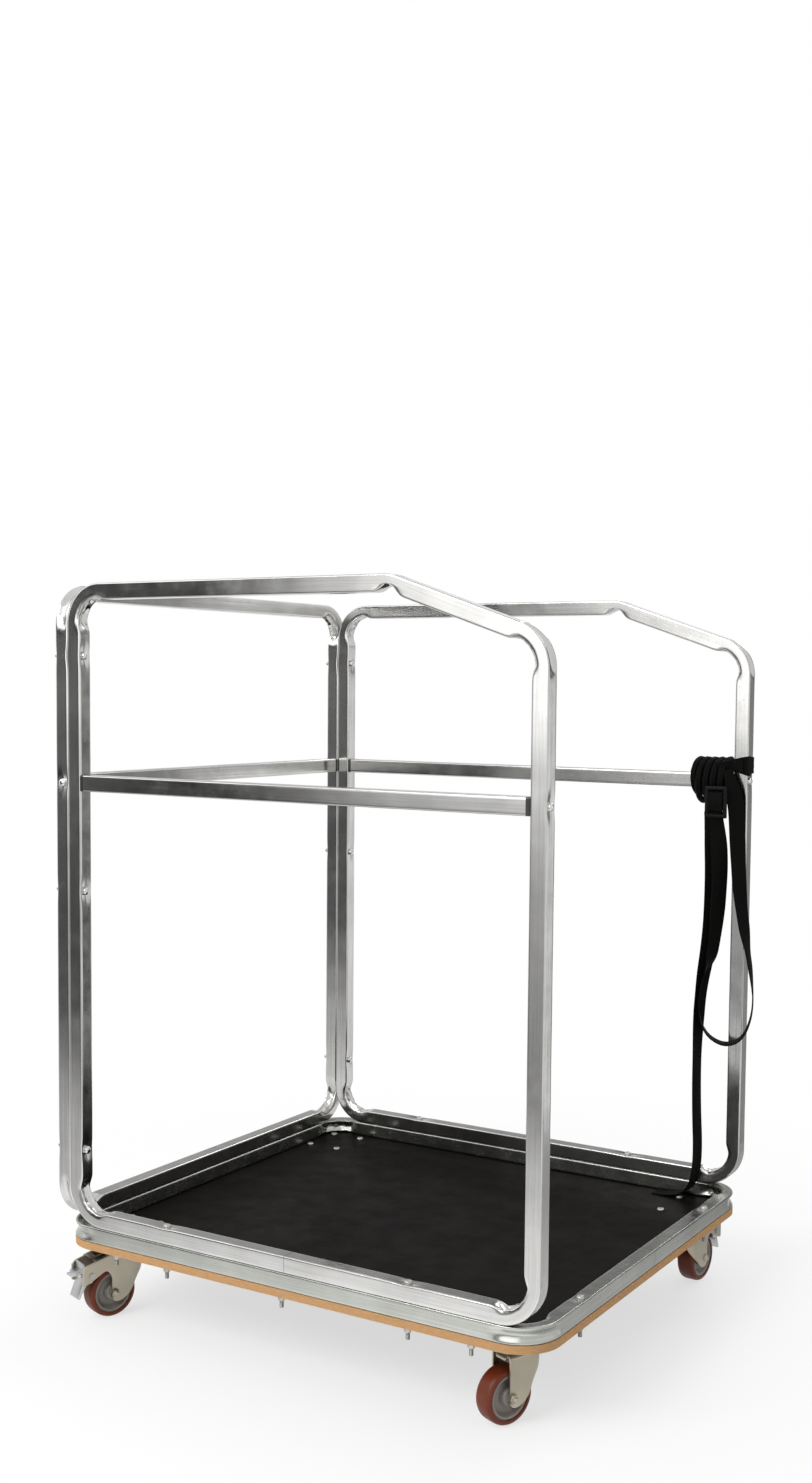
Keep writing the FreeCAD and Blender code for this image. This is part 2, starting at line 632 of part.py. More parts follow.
def build_fork(label, x, y, turn, braked):
    """Pressed fork; the braked one has two arms and a short roof behind the wheel's top."""
    body = new_body(label, x, y, turn=turn)
    side = new_sketch(body, "side", "XZ")
    arm = [("leg_back", "crown_top"), ("arm_end", "arm_top", "fork_bend"),
           ("arm_end", "arm_under", "fork_bend"),
           ("leg_back", "arm_under + arm_rise", "fork_bend")]
    leg = [("leg_back", "foot", "leg_radius"), ("castor_trail - leg_ahead", "foot", "leg_radius"),
           ("0 - fork_lead", "crown_top - leg_knee", "leg_knee / 3"), ("0 - fork_lead", "crown_top")]
    trace(side, (arm if braked else [("leg_back", "crown_top")]) + leg)
    pad(body, side, "fork_outside", midplane=True)
    space = new_sketch(body, "wheel_space", "XZ")
    ahead = "0 - 2 * fork_lead"
    behind = "2 * arm_end"
    under = [(behind, "0"), (ahead, "0"), (ahead, "crown_under")]
    roof = [("leg_back", "crown_under"), ("roof_end", "roof_under"), ("roof_end", "castor_height"),
            (behind, "castor_height")]
    trace(space, under + (roof if braked else [(behind, "crown_under")]))
    pad(body, space, "fork_inside", midplane=True, pocket=True)
    doc.recompute()
    rounded = body.newObject("PartDesign::Fillet", "crown_bends")
    rounded.Base = (body.Tip if body.Tip is not rounded else rounded.BaseFeature, crown_edges(body))
    bind(rounded, Radius="fork_bend")
    drill(body, "Z", "0", "0", "crown_under", "race_radius", "fork_sheet + race_step", kind="Additive")
    drill(body, "Z", "0", "0", "crown_under - 1", "kingpin_radius + running_clearance",
          "fork_sheet + race_step + 2")
    drill(body, "Y", "castor_trail", "0 - fork_outside", "wheel_radius", "axle_radius + running_clearance",
          "2 * fork_outside")
    if braked:
        drill(body, "Y", "pin_x", "0 - fork_outside", "pin_z", "pin_radius", "2 * fork_outside")


def crown_edges(body):
    """The long top edges where the crown turns down into the legs."""
    names = []
    for number, edge in enumerate(body.Shape.Edges, start=1):
        box = edge.BoundBox
        level = abs(box.ZMin - value("crown_top")) < 0.01 and abs(box.ZMax - value("crown_top")) < 0.01
        if level and len(edge.Vertexes) == 2 and edge.Length > value("fork_lead"):
            along = edge.tangentAt(edge.FirstParameter)
            ahead = body.Placement.Rotation.multVec(FreeCAD.Vector(1, 0, 0))
            if abs(along.dot(ahead)) > 0.99:
                names.append(f"Edge{number}")
    return names


def build_wheel(name, x, y, turn):
    at_axle = ("0", "wheel_radius", "castor_trail")
    tread = new_body(f"{name}_tread", x, y, turn=turn)
    sketch = new_sketch(tread, "section", "YZ", at_axle)
    half = "wheel_width / 2"
    trace(sketch, [(f"0 - {half}", "hub_radius"), (half, "hub_radius"),
                   (half, "wheel_radius", "tread_shoulder"),
                   (f"0 - {half}", "wheel_radius", "tread_shoulder")])
    revolve(tread, sketch)
    hub = new_body(f"{name}_hub", x, y, turn=turn)
    sketch = new_sketch(hub, "section", "YZ", at_axle)
    right = [(half, "bush_radius + running_clearance"), (half, "boss_radius"),
             ("web_thickness / 2", "boss_radius + rim_slope / 2"),
             ("web_thickness / 2", "hub_radius - rim_thickness - rim_slope"),
             (f"{half} - rim_setback", "hub_radius - rim_thickness"), (f"{half} - rim_setback", "hub_radius")]
    left = [(f"0 - ({u})", v) for u, v in reversed(right)]
    trace(sketch, right + left)
    revolve(hub, sketch)


def in_castor(solid, x, y, turn):
    """Place a solid made in a castor's own frame: swivel axis on Z, trail along +X, floor at zero."""
    return placed(solid, point(x, y, "0"), turn=value(turn))


def build_axle(name, x, y, turn):
    half = value("fork_outside / 2")
    axle = point("castor_trail", "0", "wheel_radius")
    out = FreeCAD.Vector(0, half, 0)
    length = value("fork_outside + axle_nut_height + running_clearance") + value("pin_head_height")
    bolt = domed_bolt(length, "axle_radius", "axle_head_radius", "axle_head_height")
    bolt = placed(bolt, axle - out, (0, -1, 0))
    axle_nut = placed(nut("axle_nut_flats", "axle_nut_height", "axle_radius"), axle + out, (0, 1, 0))
    inside = value("fork_inside")
    bush = Part.makeCylinder(value("bush_radius"), inside).cut(
        Part.makeCylinder(value("axle_radius + running_clearance"), inside))
    bush = placed(bush, axle - FreeCAD.Vector(0, inside / 2, 0), (0, 1, 0))
    for piece, solid in (("bolt", bolt), ("nut", axle_nut), ("bush", bush)):
        label = f"{name}_axle_{piece}"
        carried = Part.makeCompound([solid])
        new_group(label, [in_castor(carried, x, y, turn).Solids[0]])


def build_swivel_balls(name, x, y, turn):
    radius = value("(race_height - 2 * race_step) / 2 - ball_clearance")
    level = value("crown_top + race_height / 2")
    pitch = value("ball_pitch_radius")
    balls = []
    for number in range(BALL_COUNT):
        angle = 2 * math.pi * number / BALL_COUNT
        centre = FreeCAD.Vector(pitch * math.cos(angle), pitch * math.sin(angle), level)
        balls.append(Part.makeSphere(radius, centre))
    turned_balls = [in_castor(Part.makeCompound([ball]), x, y, turn).Solids[0] for ball in balls]
    new_group(f"{name}_swivel_balls", turned_balls)


def build_brake(name, x, y, turn):
    """Pedal with an upper and a lower toe and a shoe that a push swings against the tread."""
    body = new_body(f"{name}_brake_pedal", x, y, turn=turn)
    side = new_sketch(body, "side", "XZ")
    trace(side, [
        ("pin_x - pedal_boss", "pin_z - 2"),
        ("pin_x - 2.5", "pin_z - shoe_drop"),
        ("pin_x + pedal_boss - 1", "pin_z - shoe_drop"),
        ("pin_x + lower_toe_out - pedal_sheet", "pin_z - lower_toe_drop"),
        ("pin_x + lower_toe_out", "pin_z - lower_toe_drop + pedal_sheet / 2"),
        ("pin_x + pedal_boss + 4", "pin_z - 3"),
        ("pin_x + upper_toe", "pin_z + 1.5"),
        ("pin_x + upper_toe", "pin_z + 1.5 + pedal_sheet"),
        ("pin_x + pedal_boss + 2 * pedal_sheet", "pin_z + pedal_boss + 1"),
        ("pin_x + pedal_boss + 2 + pedal_sheet", "pin_z + pedal_rib"),
        ("pin_x + pedal_boss + 2", "pin_z + pedal_rib"),
        ("pin_x + pedal_boss + 1", "pin_z + pedal_boss + 1"),
        ("pin_x - 2", "pin_z + pedal_boss + 1", "3"),
        ("pin_x - pedal_boss", "pin_z + 3"),
    ])
    pad(body, side, "pedal_width", midplane=True)
    drill(body, "Y", "pin_x", "0 - fork_outside", "pin_z", "pin_radius + running_clearance",
          "2 * fork_outside")
    pin = Part.makeCylinder(value("pin_radius"), value("fork_outside"))
    tall = value("pin_head_height")
    ends = [Part.makeCylinder(value("pin_head_radius"), tall, FreeCAD.Vector(0, 0, z))
            for z in (-tall, value("fork_outside"))]
    pin = placed(pin.fuse(ends).removeSplitter(), point("pin_x", "0 - fork_outside / 2", "pin_z"), (0, 1, 0))
    new_group(f"{name}_brake_pin", [in_castor(Part.makeCompound([pin]), x, y, turn).Solids[0]])


def build_castors():
    build_castor_plates()
    build_kingpins()
    for name, (sx, sy, heading, braked) in CASTORS.items():
        x, y = f"{sx} * castor_x", f"{sy} * castor_y"
        build_fork(f"{name}_fork", x, y, heading, braked)
        build_wheel(name, x, y, heading)
        build_axle(name, x, y, heading)
        build_swivel_balls(name, x, y, heading)
        if braked:
            build_brake(name, x, y, heading)


# Lashing strap on the rear right post

# Routes of the free webbing, beside the post's right face and above the crossbar's middle: across, up
LOOP_ROUTE = [(-10, 26), (8, -100), (22, -231), (31, -353), (26, -404), (2, -438), (-32, -438), (-57, -402),
              (-61, -353), (-43, -287), (-29, -181), (-31, -61)]
TAIL_ROUTE = [(-48, -61), (-43, -171), (-57, -287), (-79, -363), (-71, -475), (-75, -566), (-70, -647),
              (-78, -698), (-107, -717.5), (-146, -718)]


def rounded_path(points):
    """Straight runs joined by tangent arcs, each as large as its two runs allow."""
    edges, radii = [], []
    start = points[0]
    for before, corner, after in zip(points, points[1:], points[2:]):
        arriving = (corner - before).normalize()
        leaving = (after - corner).normalize()
        turn = arriving.getAngle(leaving)
        setback = 0.45 * min((corner - before).Length, (after - corner).Length)
        radius = setback / math.tan(turn / 2)
        first, last = corner - arriving * setback, corner + leaving * setback
        bisector = (leaving - arriving).normalize()
        middle = corner + bisector * (radius / math.cos(turn / 2) - radius)
        edges += [Part.LineSegment(start, first).toShape(), Part.Arc(first, middle, last).toShape()]
        radii.append(radius)
        start = last
    edges.append(Part.LineSegment(start, points[-1]).toShape())
    return edges, radii


def webbing(label, route):
    """Flat webbing that hangs with its width front to back."""
    width, thick = value("strap_width"), value("strap_thickness")
    level = value("post_back - tube_half - strap_clearance - strap_thickness") - 1 - width / 2
    origin = FreeCAD.Vector(value("edge_right"), level, value("crossbar_middle"))
    edges, radii = rounded_path([origin + FreeCAD.Vector(across, 0, up) for across, up in route])
    path = Part.Wire(edges)
    along = edges[0].tangentAt(edges[0].FirstParameter)
    wide = FreeCAD.Vector(0, width / 2, 0)
    deep = along.cross(FreeCAD.Vector(0, 1, 0)).normalize() * (thick / 2)
    start = path.Vertexes[0].Point
    corners = [start + wide + deep, start - wide + deep, start - wide - deep, start + wide - deep]
    section = Part.makePolygon(corners + corners[:1])
    solid = Part.Solid(path.makePipeShell([section], True, False))
    new_group(label, [solid])
    print(f"{label}: length {path.Length:.0f}, radii {[round(r) for r in radii]},",
          f"volume over section times length {solid.Volume / (path.Length * width * thick):.4f}")


def arc_towards(start, direction, end):
    """The middle point of the arc that leaves start in this direction and reaches end."""
    chord = end - start
    unit = FreeCAD.Vector(chord).normalize()
    across = direction - unit * direction.dot(unit)
    bulge = chord.Length / 2 * math.tan(direction.getAngle(chord) / 2)
    return start + chord / 2 + across.normalize() * bulge


def biarc(start, leaving, end, arriving):
    """Two arcs that meet smoothly between two points with given directions."""
    chord = end - start
    both = leaving + arriving
    bend = 2 * (1 - leaving.dot(arriving))
    reach = (math.sqrt(chord.dot(both) ** 2 + bend * chord.dot(chord)) - chord.dot(both)) / bend
    joint = (start + leaving * reach + end - arriving * reach) / 2
    return [Part.Arc(start, arc_towards(start, leaving, joint), joint).toShape(),
            Part.Arc(joint, arc_towards(end, arriving * -1, joint), end).toShape()]


def build_wound_strap():
    """The spare strap, folded lengthwise and wound out and back in two layers round the rear crossbar."""
    roll = value("strap_roll")
    pitch = value("strap_pitch")
    inner = value("tube_reach + strap_contact + strap_roll / 2")
    first = point("post_right - tube_half - strap_roll", "post_back", "crossbar_middle")
    out = 2 * math.pi * STRAP_TURNS
    back = out + math.pi

    def across(angle):
        """How far a turn has moved along the crossbar, in pitches, and its layer, from 0 to 1."""
        if angle <= out:
            return angle / (2 * math.pi), 0
        climb = min(angle - out, math.pi)
        moved = STRAP_TURNS + (climb - climb ** 2 / math.pi) / (2 * math.pi)
        return moved - max(0, angle - back) / (2 * math.pi), (1 - math.cos(climb)) / 2

    def on_turn(angle):
        moved, layer = across(angle)
        radius = inner + layer * pitch
        return first + FreeCAD.Vector(-pitch * moved, -radius * math.sin(angle), -radius * math.cos(angle))

    def leaving(angle):
        step = 1e-4
        return (on_turn(angle + step) - on_turn(angle - step)).normalize()

    angles = [number * math.pi / 2 for number in range(8 * STRAP_TURNS + 3)]
    edges = []
    for start, end in zip(angles, angles[1:]):
        edges += biarc(on_turn(start), leaving(start), on_turn(end), leaving(end))
    entry, entry_way = on_turn(angles[0]), leaving(angles[0])
    leave, leave_way = on_turn(angles[-1]), leaving(angles[-1])
    edges.insert(0, Part.LineSegment(entry - entry_way * roll, entry).toShape())
    edges.append(Part.LineSegment(leave, leave + leave_way * roll).toShape())
    path = Part.Wire(edges)
    section = Part.Wire(Part.Circle(entry - entry_way * roll, entry_way, roll / 2).toShape())
    solid = Part.Solid(path.makePipeShell([section], True, False))
    new_group("strap_winding", [solid])
    steps = [on_turn(number * math.pi / 36) for number in range(int(round(36 * angles[-1] / math.pi)) + 1)]
    gap = min((a - b).Length for i, a in enumerate(steps) for b in steps[i + 36:]) - roll
    print(f"strap_winding: length {path.Length:.0f}, least gap to itself {gap:.2f},",
          f"volume over section times length {solid.Volume / (path.Length * math.pi * roll ** 2 / 4):.4f}")


def build_strap_band():
    """One turn of flat webbing that chokes the post just above the crossbar."""
    inner = value("tube_half + strap_clearance")
    outer = inner + value("strap_thickness")
    tall = value("strap_width")

    def post_sleeve(half, corner):
        box = Part.makeBox(2 * half, 2 * half, tall, FreeCAD.Vector(-half, -half, 0))
        return box.makeFillet(corner, [e for e in box.Edges if abs(e.tangentAt(0).z) > 0.5])

    rounded = value("tube_corner + strap_clearance")
    band = post_sleeve(outer, rounded + value("strap_thickness")).cut(post_sleeve(inner, rounded))
    level = "crossbar_middle + tube_half + strap_clearance"
    new_group("strap_band", [placed(band, point("post_right", "post_back", level))])


def build_buckle():
    """A slide buckle: a plastic frame with three bars, hanging in front of the wound strap."""
    width, length = value("buckle_width"), value("buckle_length")
    thick, bar = value("buckle_thickness"), value("buckle_bar")
    block = Part.makeBox(width, thick, length)
    block = block.makeFillet(thick / 3, [e for e in block.Edges if abs(e.tangentAt(0).y) > 0.5])
    slot_tall = (length - 4 * bar) / 3
    for number in range(3):
        base = FreeCAD.Vector(bar, 0, bar + number * (slot_tall + bar))
        block = block.cut(Part.makeBox(width - 2 * bar, thick, slot_tall, base))
    reach = value("tube_reach + strap_contact + strap_roll + strap_pitch")
    across, up = LOOP_ROUTE[-1]
    corner = FreeCAD.Vector(value("edge_right") + across - value("buckle_side"),
                            value("post_back") - reach - value("buckle_gap") - thick,
                            value("crossbar_middle") + up + value("strap_clearance"))
    new_group("strap_buckle", [placed(block, corner)])


def build_strap():
    build_strap_band()
    build_wound_strap()
    webbing("strap_loop", LOOP_ROUTE)
    webbing("strap_tail", TAIL_ROUTE)
    build_buckle()


build_deck()
build_base_ring()
build_end_frame("front_frame", -1)
build_end_frame("rear_frame", 1)
build_side_frame()
build_joint_sleeves()
build_crossbars()
build_end_plugs()
build_crossbar_screws()
build_post_bolts()
build_deck_bolts()
build_castor_bolts()
build_castors()
build_strap()
doc.recompute()

failed = [item.Label for item in doc.Objects if {"Invalid", "Error"} & set(item.State)]
failed += [item.Label for item in subparts if item.Shape.isNull() or not item.Shape.isValid()]
if failed:
    raise RuntimeError(f"failed: {failed}")
os.makedirs("parts", exist_ok=True)
for item in subparts:
    item.Shape.exportStep(f"parts/{item.Label}.step")
print(len(subparts), "sub-parts,", sum(len(item.Shape.Solids) for item in subparts), "solids")
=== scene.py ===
import json
import math

import bmesh
import bpy
from mathutils import Matrix, Vector, noise


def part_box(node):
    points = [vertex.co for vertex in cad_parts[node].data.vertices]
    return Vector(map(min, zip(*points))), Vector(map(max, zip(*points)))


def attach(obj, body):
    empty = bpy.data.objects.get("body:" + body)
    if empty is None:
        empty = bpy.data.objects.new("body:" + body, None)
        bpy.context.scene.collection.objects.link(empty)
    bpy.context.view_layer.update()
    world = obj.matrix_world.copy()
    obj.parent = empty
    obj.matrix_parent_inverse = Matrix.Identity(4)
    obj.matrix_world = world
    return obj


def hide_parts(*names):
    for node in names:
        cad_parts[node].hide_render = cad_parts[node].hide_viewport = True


bl_info = {
    "name": "Table trolley",
    "version": (1, 0, 0),
    "blender": (4, 5, 0),
    "location": "3D View > Sidebar > Trolley",
    "description": "Dresses the fixed frame of a table trolley: bent tubes, deck, castors, strap and stage",
    "category": "Object",
}

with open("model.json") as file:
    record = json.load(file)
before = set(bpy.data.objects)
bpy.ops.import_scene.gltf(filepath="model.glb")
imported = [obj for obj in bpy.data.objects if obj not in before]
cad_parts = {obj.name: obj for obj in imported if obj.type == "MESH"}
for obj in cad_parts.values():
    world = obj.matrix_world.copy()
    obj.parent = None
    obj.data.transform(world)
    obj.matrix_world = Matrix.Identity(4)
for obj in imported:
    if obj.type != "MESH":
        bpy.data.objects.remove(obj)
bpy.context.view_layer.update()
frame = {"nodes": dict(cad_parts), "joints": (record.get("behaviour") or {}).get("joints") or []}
NODES = frame["nodes"]
JOINTS = {joint["name"]: joint for joint in frame["joints"]}
CASTORS = ("front_left", "front_right", "rear_left", "rear_right")
BRAKED = ("front_left", "rear_right")
MM = 0.001

RING_LOW, RING_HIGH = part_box("base_ring")
TUBE = RING_HIGH.z - RING_LOW.z
POST_RIGHT = RING_HIGH.x - TUBE / 2
POST_BACK = RING_HIGH.y - TUBE / 2
SIDE_POST = RING_LOW.x + TUBE / 2
POST_LEFT = SIDE_POST + TUBE
SEAM = (POST_LEFT + POST_RIGHT) / 2
RAIL_LOW = RING_HIGH.z + TUBE / 2
RAIL_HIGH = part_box("front_frame")[1].z - TUBE / 2
RIM_CORNER = 62.5 * MM
CROSSBAR = (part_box("front_crossbar")[0].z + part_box("front_crossbar")[1].z) / 2
CLAMPS = [RING_HIGH.z + height * MM for height in (117, 526, 890)]
SIDES = (-POST_BACK, POST_BACK)
RAIL_BOLTS = (-216.5 * MM, 216.5 * MM)
RING_BOLTS = (-231 * MM, 231 * MM)
HIDDEN_BOLTS = (-318 * MM, 0, 318 * MM)
LEFT, RIGHT, DOWN, UP = (-1, 0, 0), (1, 0, 0), (0, 0, -1), (0, 0, 1)
TUBE_CORNER = 2.5 * MM
MERGE = 0.004 * MM
DENT_REACH = 15 * MM
PLY_LAYER = 1.5 * MM
WEBBING = 28 * MM


def length_prop(name, description, default):
    return bpy.props.FloatProperty(name=name, description=description, default=default, unit="LENGTH",
                                   subtype="DISTANCE")


def colour_prop(name, description, default):
    return bpy.props.FloatVectorProperty(name=name, description=description, default=default, size=3,
                                         subtype="COLOR", min=0, max=1)


class TrolleySizes(bpy.types.PropertyGroup):
    """Sizes of the dressed pieces that a user may change"""
    tube_corner: length_prop("Tube corner", "Rounding of the square tube's edges", TUBE_CORNER)
    bend_radius: length_prop("Bend radius", "Radius of the tube's middle line in a bend", 50 * MM)
    kink_run: length_prop("Kink run", "Length of the sloping shoulder, across", 232 * MM)
    shoulder_drop: length_prop("Shoulder drop", "Fall of the sloping shoulder", 79 * MM)
    seam_gap: length_prop("Seam", "Gap where a tube's two ends meet", 0.6 * MM)
    crush: length_prop("Crush", "How far the inner wall is pressed in at a bend", 8.5 * MM)
    groove: length_prop("Groove", "How far the outer wall is drawn in at a bend", 6 * MM)
    dent: length_prop("Dent", "How far a bolt has drawn in the tube's wall", 2.4 * MM)
    strap_width: length_prop("Strap width", "Width of the webbing", WEBBING)
    strap_thickness: length_prop("Strap thickness", "Thickness of the webbing", 1.8 * MM)


class TrolleyColours(bpy.types.PropertyGroup):
    """Colours of the finishes"""
    zinc: colour_prop("Bright zinc", "Frames and crossbars", (0.66, 0.655, 0.64))
    ring_zinc: colour_prop("Base ring", "Duller zinc of the base ring", (0.50, 0.51, 0.475))
    castor_zinc: colour_prop("Castor zinc", "Yellowed zinc of the forks", (0.47, 0.43, 0.345))
    fastener: colour_prop("Fasteners", "Bolts and nuts", (0.46, 0.455, 0.43))
    film: colour_prop("Deck film", "Dark film on the plywood", (0.0045, 0.0034, 0.0030))
    ply_light: colour_prop("Light ply", "Light layers of the plywood edge", (0.56, 0.335, 0.165))
    ply_dark: colour_prop("Dark ply", "Dark layers of the plywood edge", (0.51, 0.295, 0.138))
    tread: colour_prop("Tread", "Red-brown cast tread", (0.135, 0.020, 0.0036))
    hub: colour_prop("Hub", "Grey moulded hub", (0.25, 0.225, 0.20))
    webbing: colour_prop("Webbing", "Black strap", (0.0028, 0.0025, 0.0022))
    plastic: colour_prop("Plastic", "Black crossbar plugs", (0.012, 0.012, 0.012))
    pedal: colour_prop("Pedal", "Bright zinc of the brake pedals", (0.56, 0.57, 0.57))


# Selecting and shaping

def clear_selection():
    if bpy.context.mode != "OBJECT":
        bpy.ops.object.mode_set(mode="OBJECT")
    bpy.ops.object.select_all(action="DESELECT")


def pick(*pieces):
    """Select these pieces alone, the first as the active one."""
    clear_selection()
    for piece in pieces:
        piece.select_set(True)
    bpy.context.view_layer.objects.active = pieces[0]


def choose(piece, kind, test):
    """Select the vertices, edges or faces of a piece in edit mode that pass a test."""
    bpy.ops.mesh.select_mode(type=kind)
    bpy.ops.mesh.select_all(action="DESELECT")
    shape = bmesh.from_edit_mesh(piece.data)
    for item in {"VERT": shape.verts, "EDGE": shape.edges, "FACE": shape.faces}[kind]:
        item.select = test(item)
    shape.select_flush_mode()
    bmesh.update_edit_mesh(piece.data)


def drawn(name, points, closed):
    """A face or an open line through points, left in edit mode and selected."""
    clear_selection()
    spare = 0 if closed else 1
    bpy.ops.mesh.primitive_circle_add(vertices=len(points) + spare, radius=1,
                                      fill_type="NGON" if closed else "NOTHING")
    piece = bpy.context.object
    piece.name = name
    bpy.ops.object.mode_set(mode="EDIT")
    if spare:
        last = len(points)
        choose(piece, "VERT", lambda vert: vert.index == last)
        bpy.ops.mesh.delete(type="VERT")
    shape = bmesh.from_edit_mesh(piece.data)
    shape.verts.ensure_lookup_table()
    for vert, point in zip(shape.verts, points):
        vert.co = point
    bmesh.update_edit_mesh(piece.data)
    bpy.ops.mesh.select_all(action="SELECT")
    return piece


def closed_up(piece, merge=MERGE, fill=False):
    """Merge doubled points of the active piece, fill its open ends if asked and turn its faces outwards."""
    if bpy.context.mode == "OBJECT":
        bpy.ops.object.mode_set(mode="EDIT")
    bpy.ops.mesh.select_all(action="SELECT")
    bpy.ops.mesh.remove_doubles(threshold=merge)
    if fill:
        bpy.ops.mesh.fill_holes(sides=0)
    bpy.ops.mesh.normals_make_consistent(inside=False)
    bpy.ops.object.mode_set(mode="OBJECT")
    return piece


def turned(name, profile, steps):
    """A profile of (radius, height) turned about the Z axis."""
    piece = drawn(name, [(radius, 0, height) for radius, height in profile], False)
    bpy.ops.mesh.spin(steps=steps, angle=2 * math.pi, center=(0, 0, 0), axis=(0, 0, 1))
    return closed_up(piece)


def plate(name, outline, thickness):
    """A flat outline given its thickness along its normal."""
    piece = drawn(name, outline, True)
    bpy.ops.mesh.extrude_region_move(TRANSFORM_OT_translate={"value": thickness})
    return closed_up(piece)


def sheet_of(grid):
    """A sheet through rows of points."""
    clear_selection()
    bpy.ops.mesh.primitive_grid_add(x_subdivisions=len(grid[0]) - 1, y_subdivisions=len(grid) - 1, size=1)
    piece = bpy.context.object
    for vert, place in zip(piece.data.vertices, [place for row in grid for place in row]):
        vert.co = place
    return piece


def cut_out(piece, test):
    """Delete the faces of the active piece that pass a test."""
    bpy.ops.object.mode_set(mode="EDIT")
    choose(piece, "FACE", test)
    bpy.ops.mesh.delete(type="FACE")
    bpy.ops.object.mode_set(mode="OBJECT")


def modified(piece, kind, **settings):
    """Add a modifier and apply it."""
    pick(piece)
    modifier = piece.modifiers.new(kind.title(), kind)
    for name, setting in settings.items():
        setattr(modifier, name, setting)
    bpy.ops.object.modifier_apply(modifier=modifier.name)
    return piece


def eased(piece, width, segments=2):
    return modified(piece, "BEVEL", width=width, segments=segments, limit_method="ANGLE",
                    angle_limit=math.radians(32))


def smoothed(piece, degrees):
    pick(piece)
    bpy.ops.object.shade_smooth_by_angle(angle=math.radians(degrees))
    return piece


def joined(pieces, name):
    pick(*pieces)
    if len(pieces) > 1:
        bpy.ops.object.join()
    pieces[0].name = name
    return pieces[0]


def copied(piece, place):
    """A copy with its own mesh, moved in its mesh."""
    other = piece.copy()
    other.data = piece.data.copy()
    bpy.context.scene.collection.objects.link(other)
    other.data.transform(place)
    return other


def discard(*pieces):
    for piece in pieces:
        bpy.data.objects.remove(piece)


def fitted(piece, name, body, finish, slot, *nodes):
    """Name a finished piece, give it its finish and fasten it to a body in place of CAD nodes."""
    piece.name = name
    piece.data.name = name
    piece.data.materials.clear()
    piece.data.materials.append(finish)
    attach(piece, body)
    if nodes:
        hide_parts(*nodes)
    return piece


def painted(finish, *nodes):
    """Give CAD nodes that stay in view a finish."""
    for node in nodes:
        NODES[node].data.materials.clear()
        NODES[node].data.materials.append(finish)


def ease(share):
    share = min(1, max(0, share))
    return share * share * (3 - 2 * share)


def straight(share):
    return share


def quarter_round(share):
    """How far a quarter round has fallen at a share of its run."""
    return 1 - math.sqrt(max(0, 1 - share * share))


def blended(stops, at, shape=ease):
    """A value between the stops (place, value) on each side of a place, eased or in a straight line."""
    for (low, first), (high, second) in zip(stops, stops[1:]):
        if at <= high:
            return first + (second - first) * shape((at - low) / (high - low))
    return stops[-1][1]


# Finishes

def new_finish(name, colour, roughness, metallic=0.0, specular=0.5):
    """A new material, its node tree and its shader."""
    material = bpy.data.materials.new(name)
    material.use_nodes = True
    shader = material.node_tree.nodes["Principled BSDF"]
    shader.inputs["Base Color"].default_value = (*colour, 1)
    shader.inputs["Roughness"].default_value = roughness
    shader.inputs["Metallic"].default_value = metallic
    shader.inputs["Specular IOR Level"].default_value = specular
    return material, material.node_tree, shader


def add_node(tree, kind, inputs=None, **settings):
    """A node with its settings; its inputs are linked to other nodes' outputs or set to plain values."""
    node = tree.nodes.new(kind)
    for name, setting in settings.items():
        setattr(node, name, setting)
    for name, value in (inputs or {}).items():
        if isinstance(value, bpy.types.NodeSocket):
            tree.links.new(value, node.inputs[name])
        else:
            node.inputs[name].default_value = value
    return node


def maths(tree, operation, *values, kind="ShaderNodeMath"):
    """The outcome of an operation on other nodes' outputs and plain values."""
    node = add_node(tree, kind, dict(enumerate(values)), operation=operation)
    return node.outputs["Value" if operation == "LENGTH" else 0]


def vector_maths(tree, operation, *values):
    return maths(tree, operation, *values, kind="ShaderNodeVectorMath")


def placed_at(tree, scale=(1, 1, 1), source="Object"):
    coordinates = add_node(tree, "ShaderNodeTexCoord")
    mapping = add_node(tree, "ShaderNodeMapping", {"Vector": coordinates.outputs[source], "Scale": scale})
    return mapping.outputs["Vector"]


def cloud(tree, scale, detail, where=None, roughness=0.55):
    node = add_node(tree, "ShaderNodeTexNoise", {"Vector": where or placed_at(tree), "Scale": scale,
                                                 "Detail": detail, "Roughness": roughness})
    return node.outputs["Fac"]


def ramp(tree, value, *stops):
    """Colours or greys at places along a value from 0 to 1."""
    node = add_node(tree, "ShaderNodeValToRGB", {"Fac": value})
    elements = node.color_ramp.elements
    while len(elements) < len(stops):
        elements.new(0.5)
    for element, (place, colour) in zip(elements, stops):
        element.position = place
        element.color = (*colour, 1) if hasattr(colour, "__len__") else (colour, colour, colour, 1)
    return node.outputs["Color"]


def mixed(tree, share, first, second, blend="MIX"):
    """One colour or grey passing into another."""
    node = add_node(tree, "ShaderNodeMix", {0: share}, data_type="RGBA", blend_type=blend)
    colours = [socket for socket in node.inputs if socket.type == "RGBA"]
    tree.links.new(first, colours[0])
    tree.links.new(second, colours[1])
    return next(socket for socket in node.outputs if socket.type == "RGBA")


def multiplied(tree, first, second):
    """Two colours or greys multiplied."""
    return mixed(tree, 1, first, second, "MULTIPLY")


def bumped(tree, shader, height, strength, distance):
    bump = add_node(tree, "ShaderNodeBump", {"Height": height, "Strength": strength, "Distance": distance})
    before = shader.inputs["Normal"].links
    if before:
        tree.links.new(before[0].from_socket, bump.inputs["Normal"])
    tree.links.new(bump.outputs["Normal"], shader.inputs["Normal"])


def shade(colour, factor):
    return tuple(min(1, channel * factor) for channel in colour)


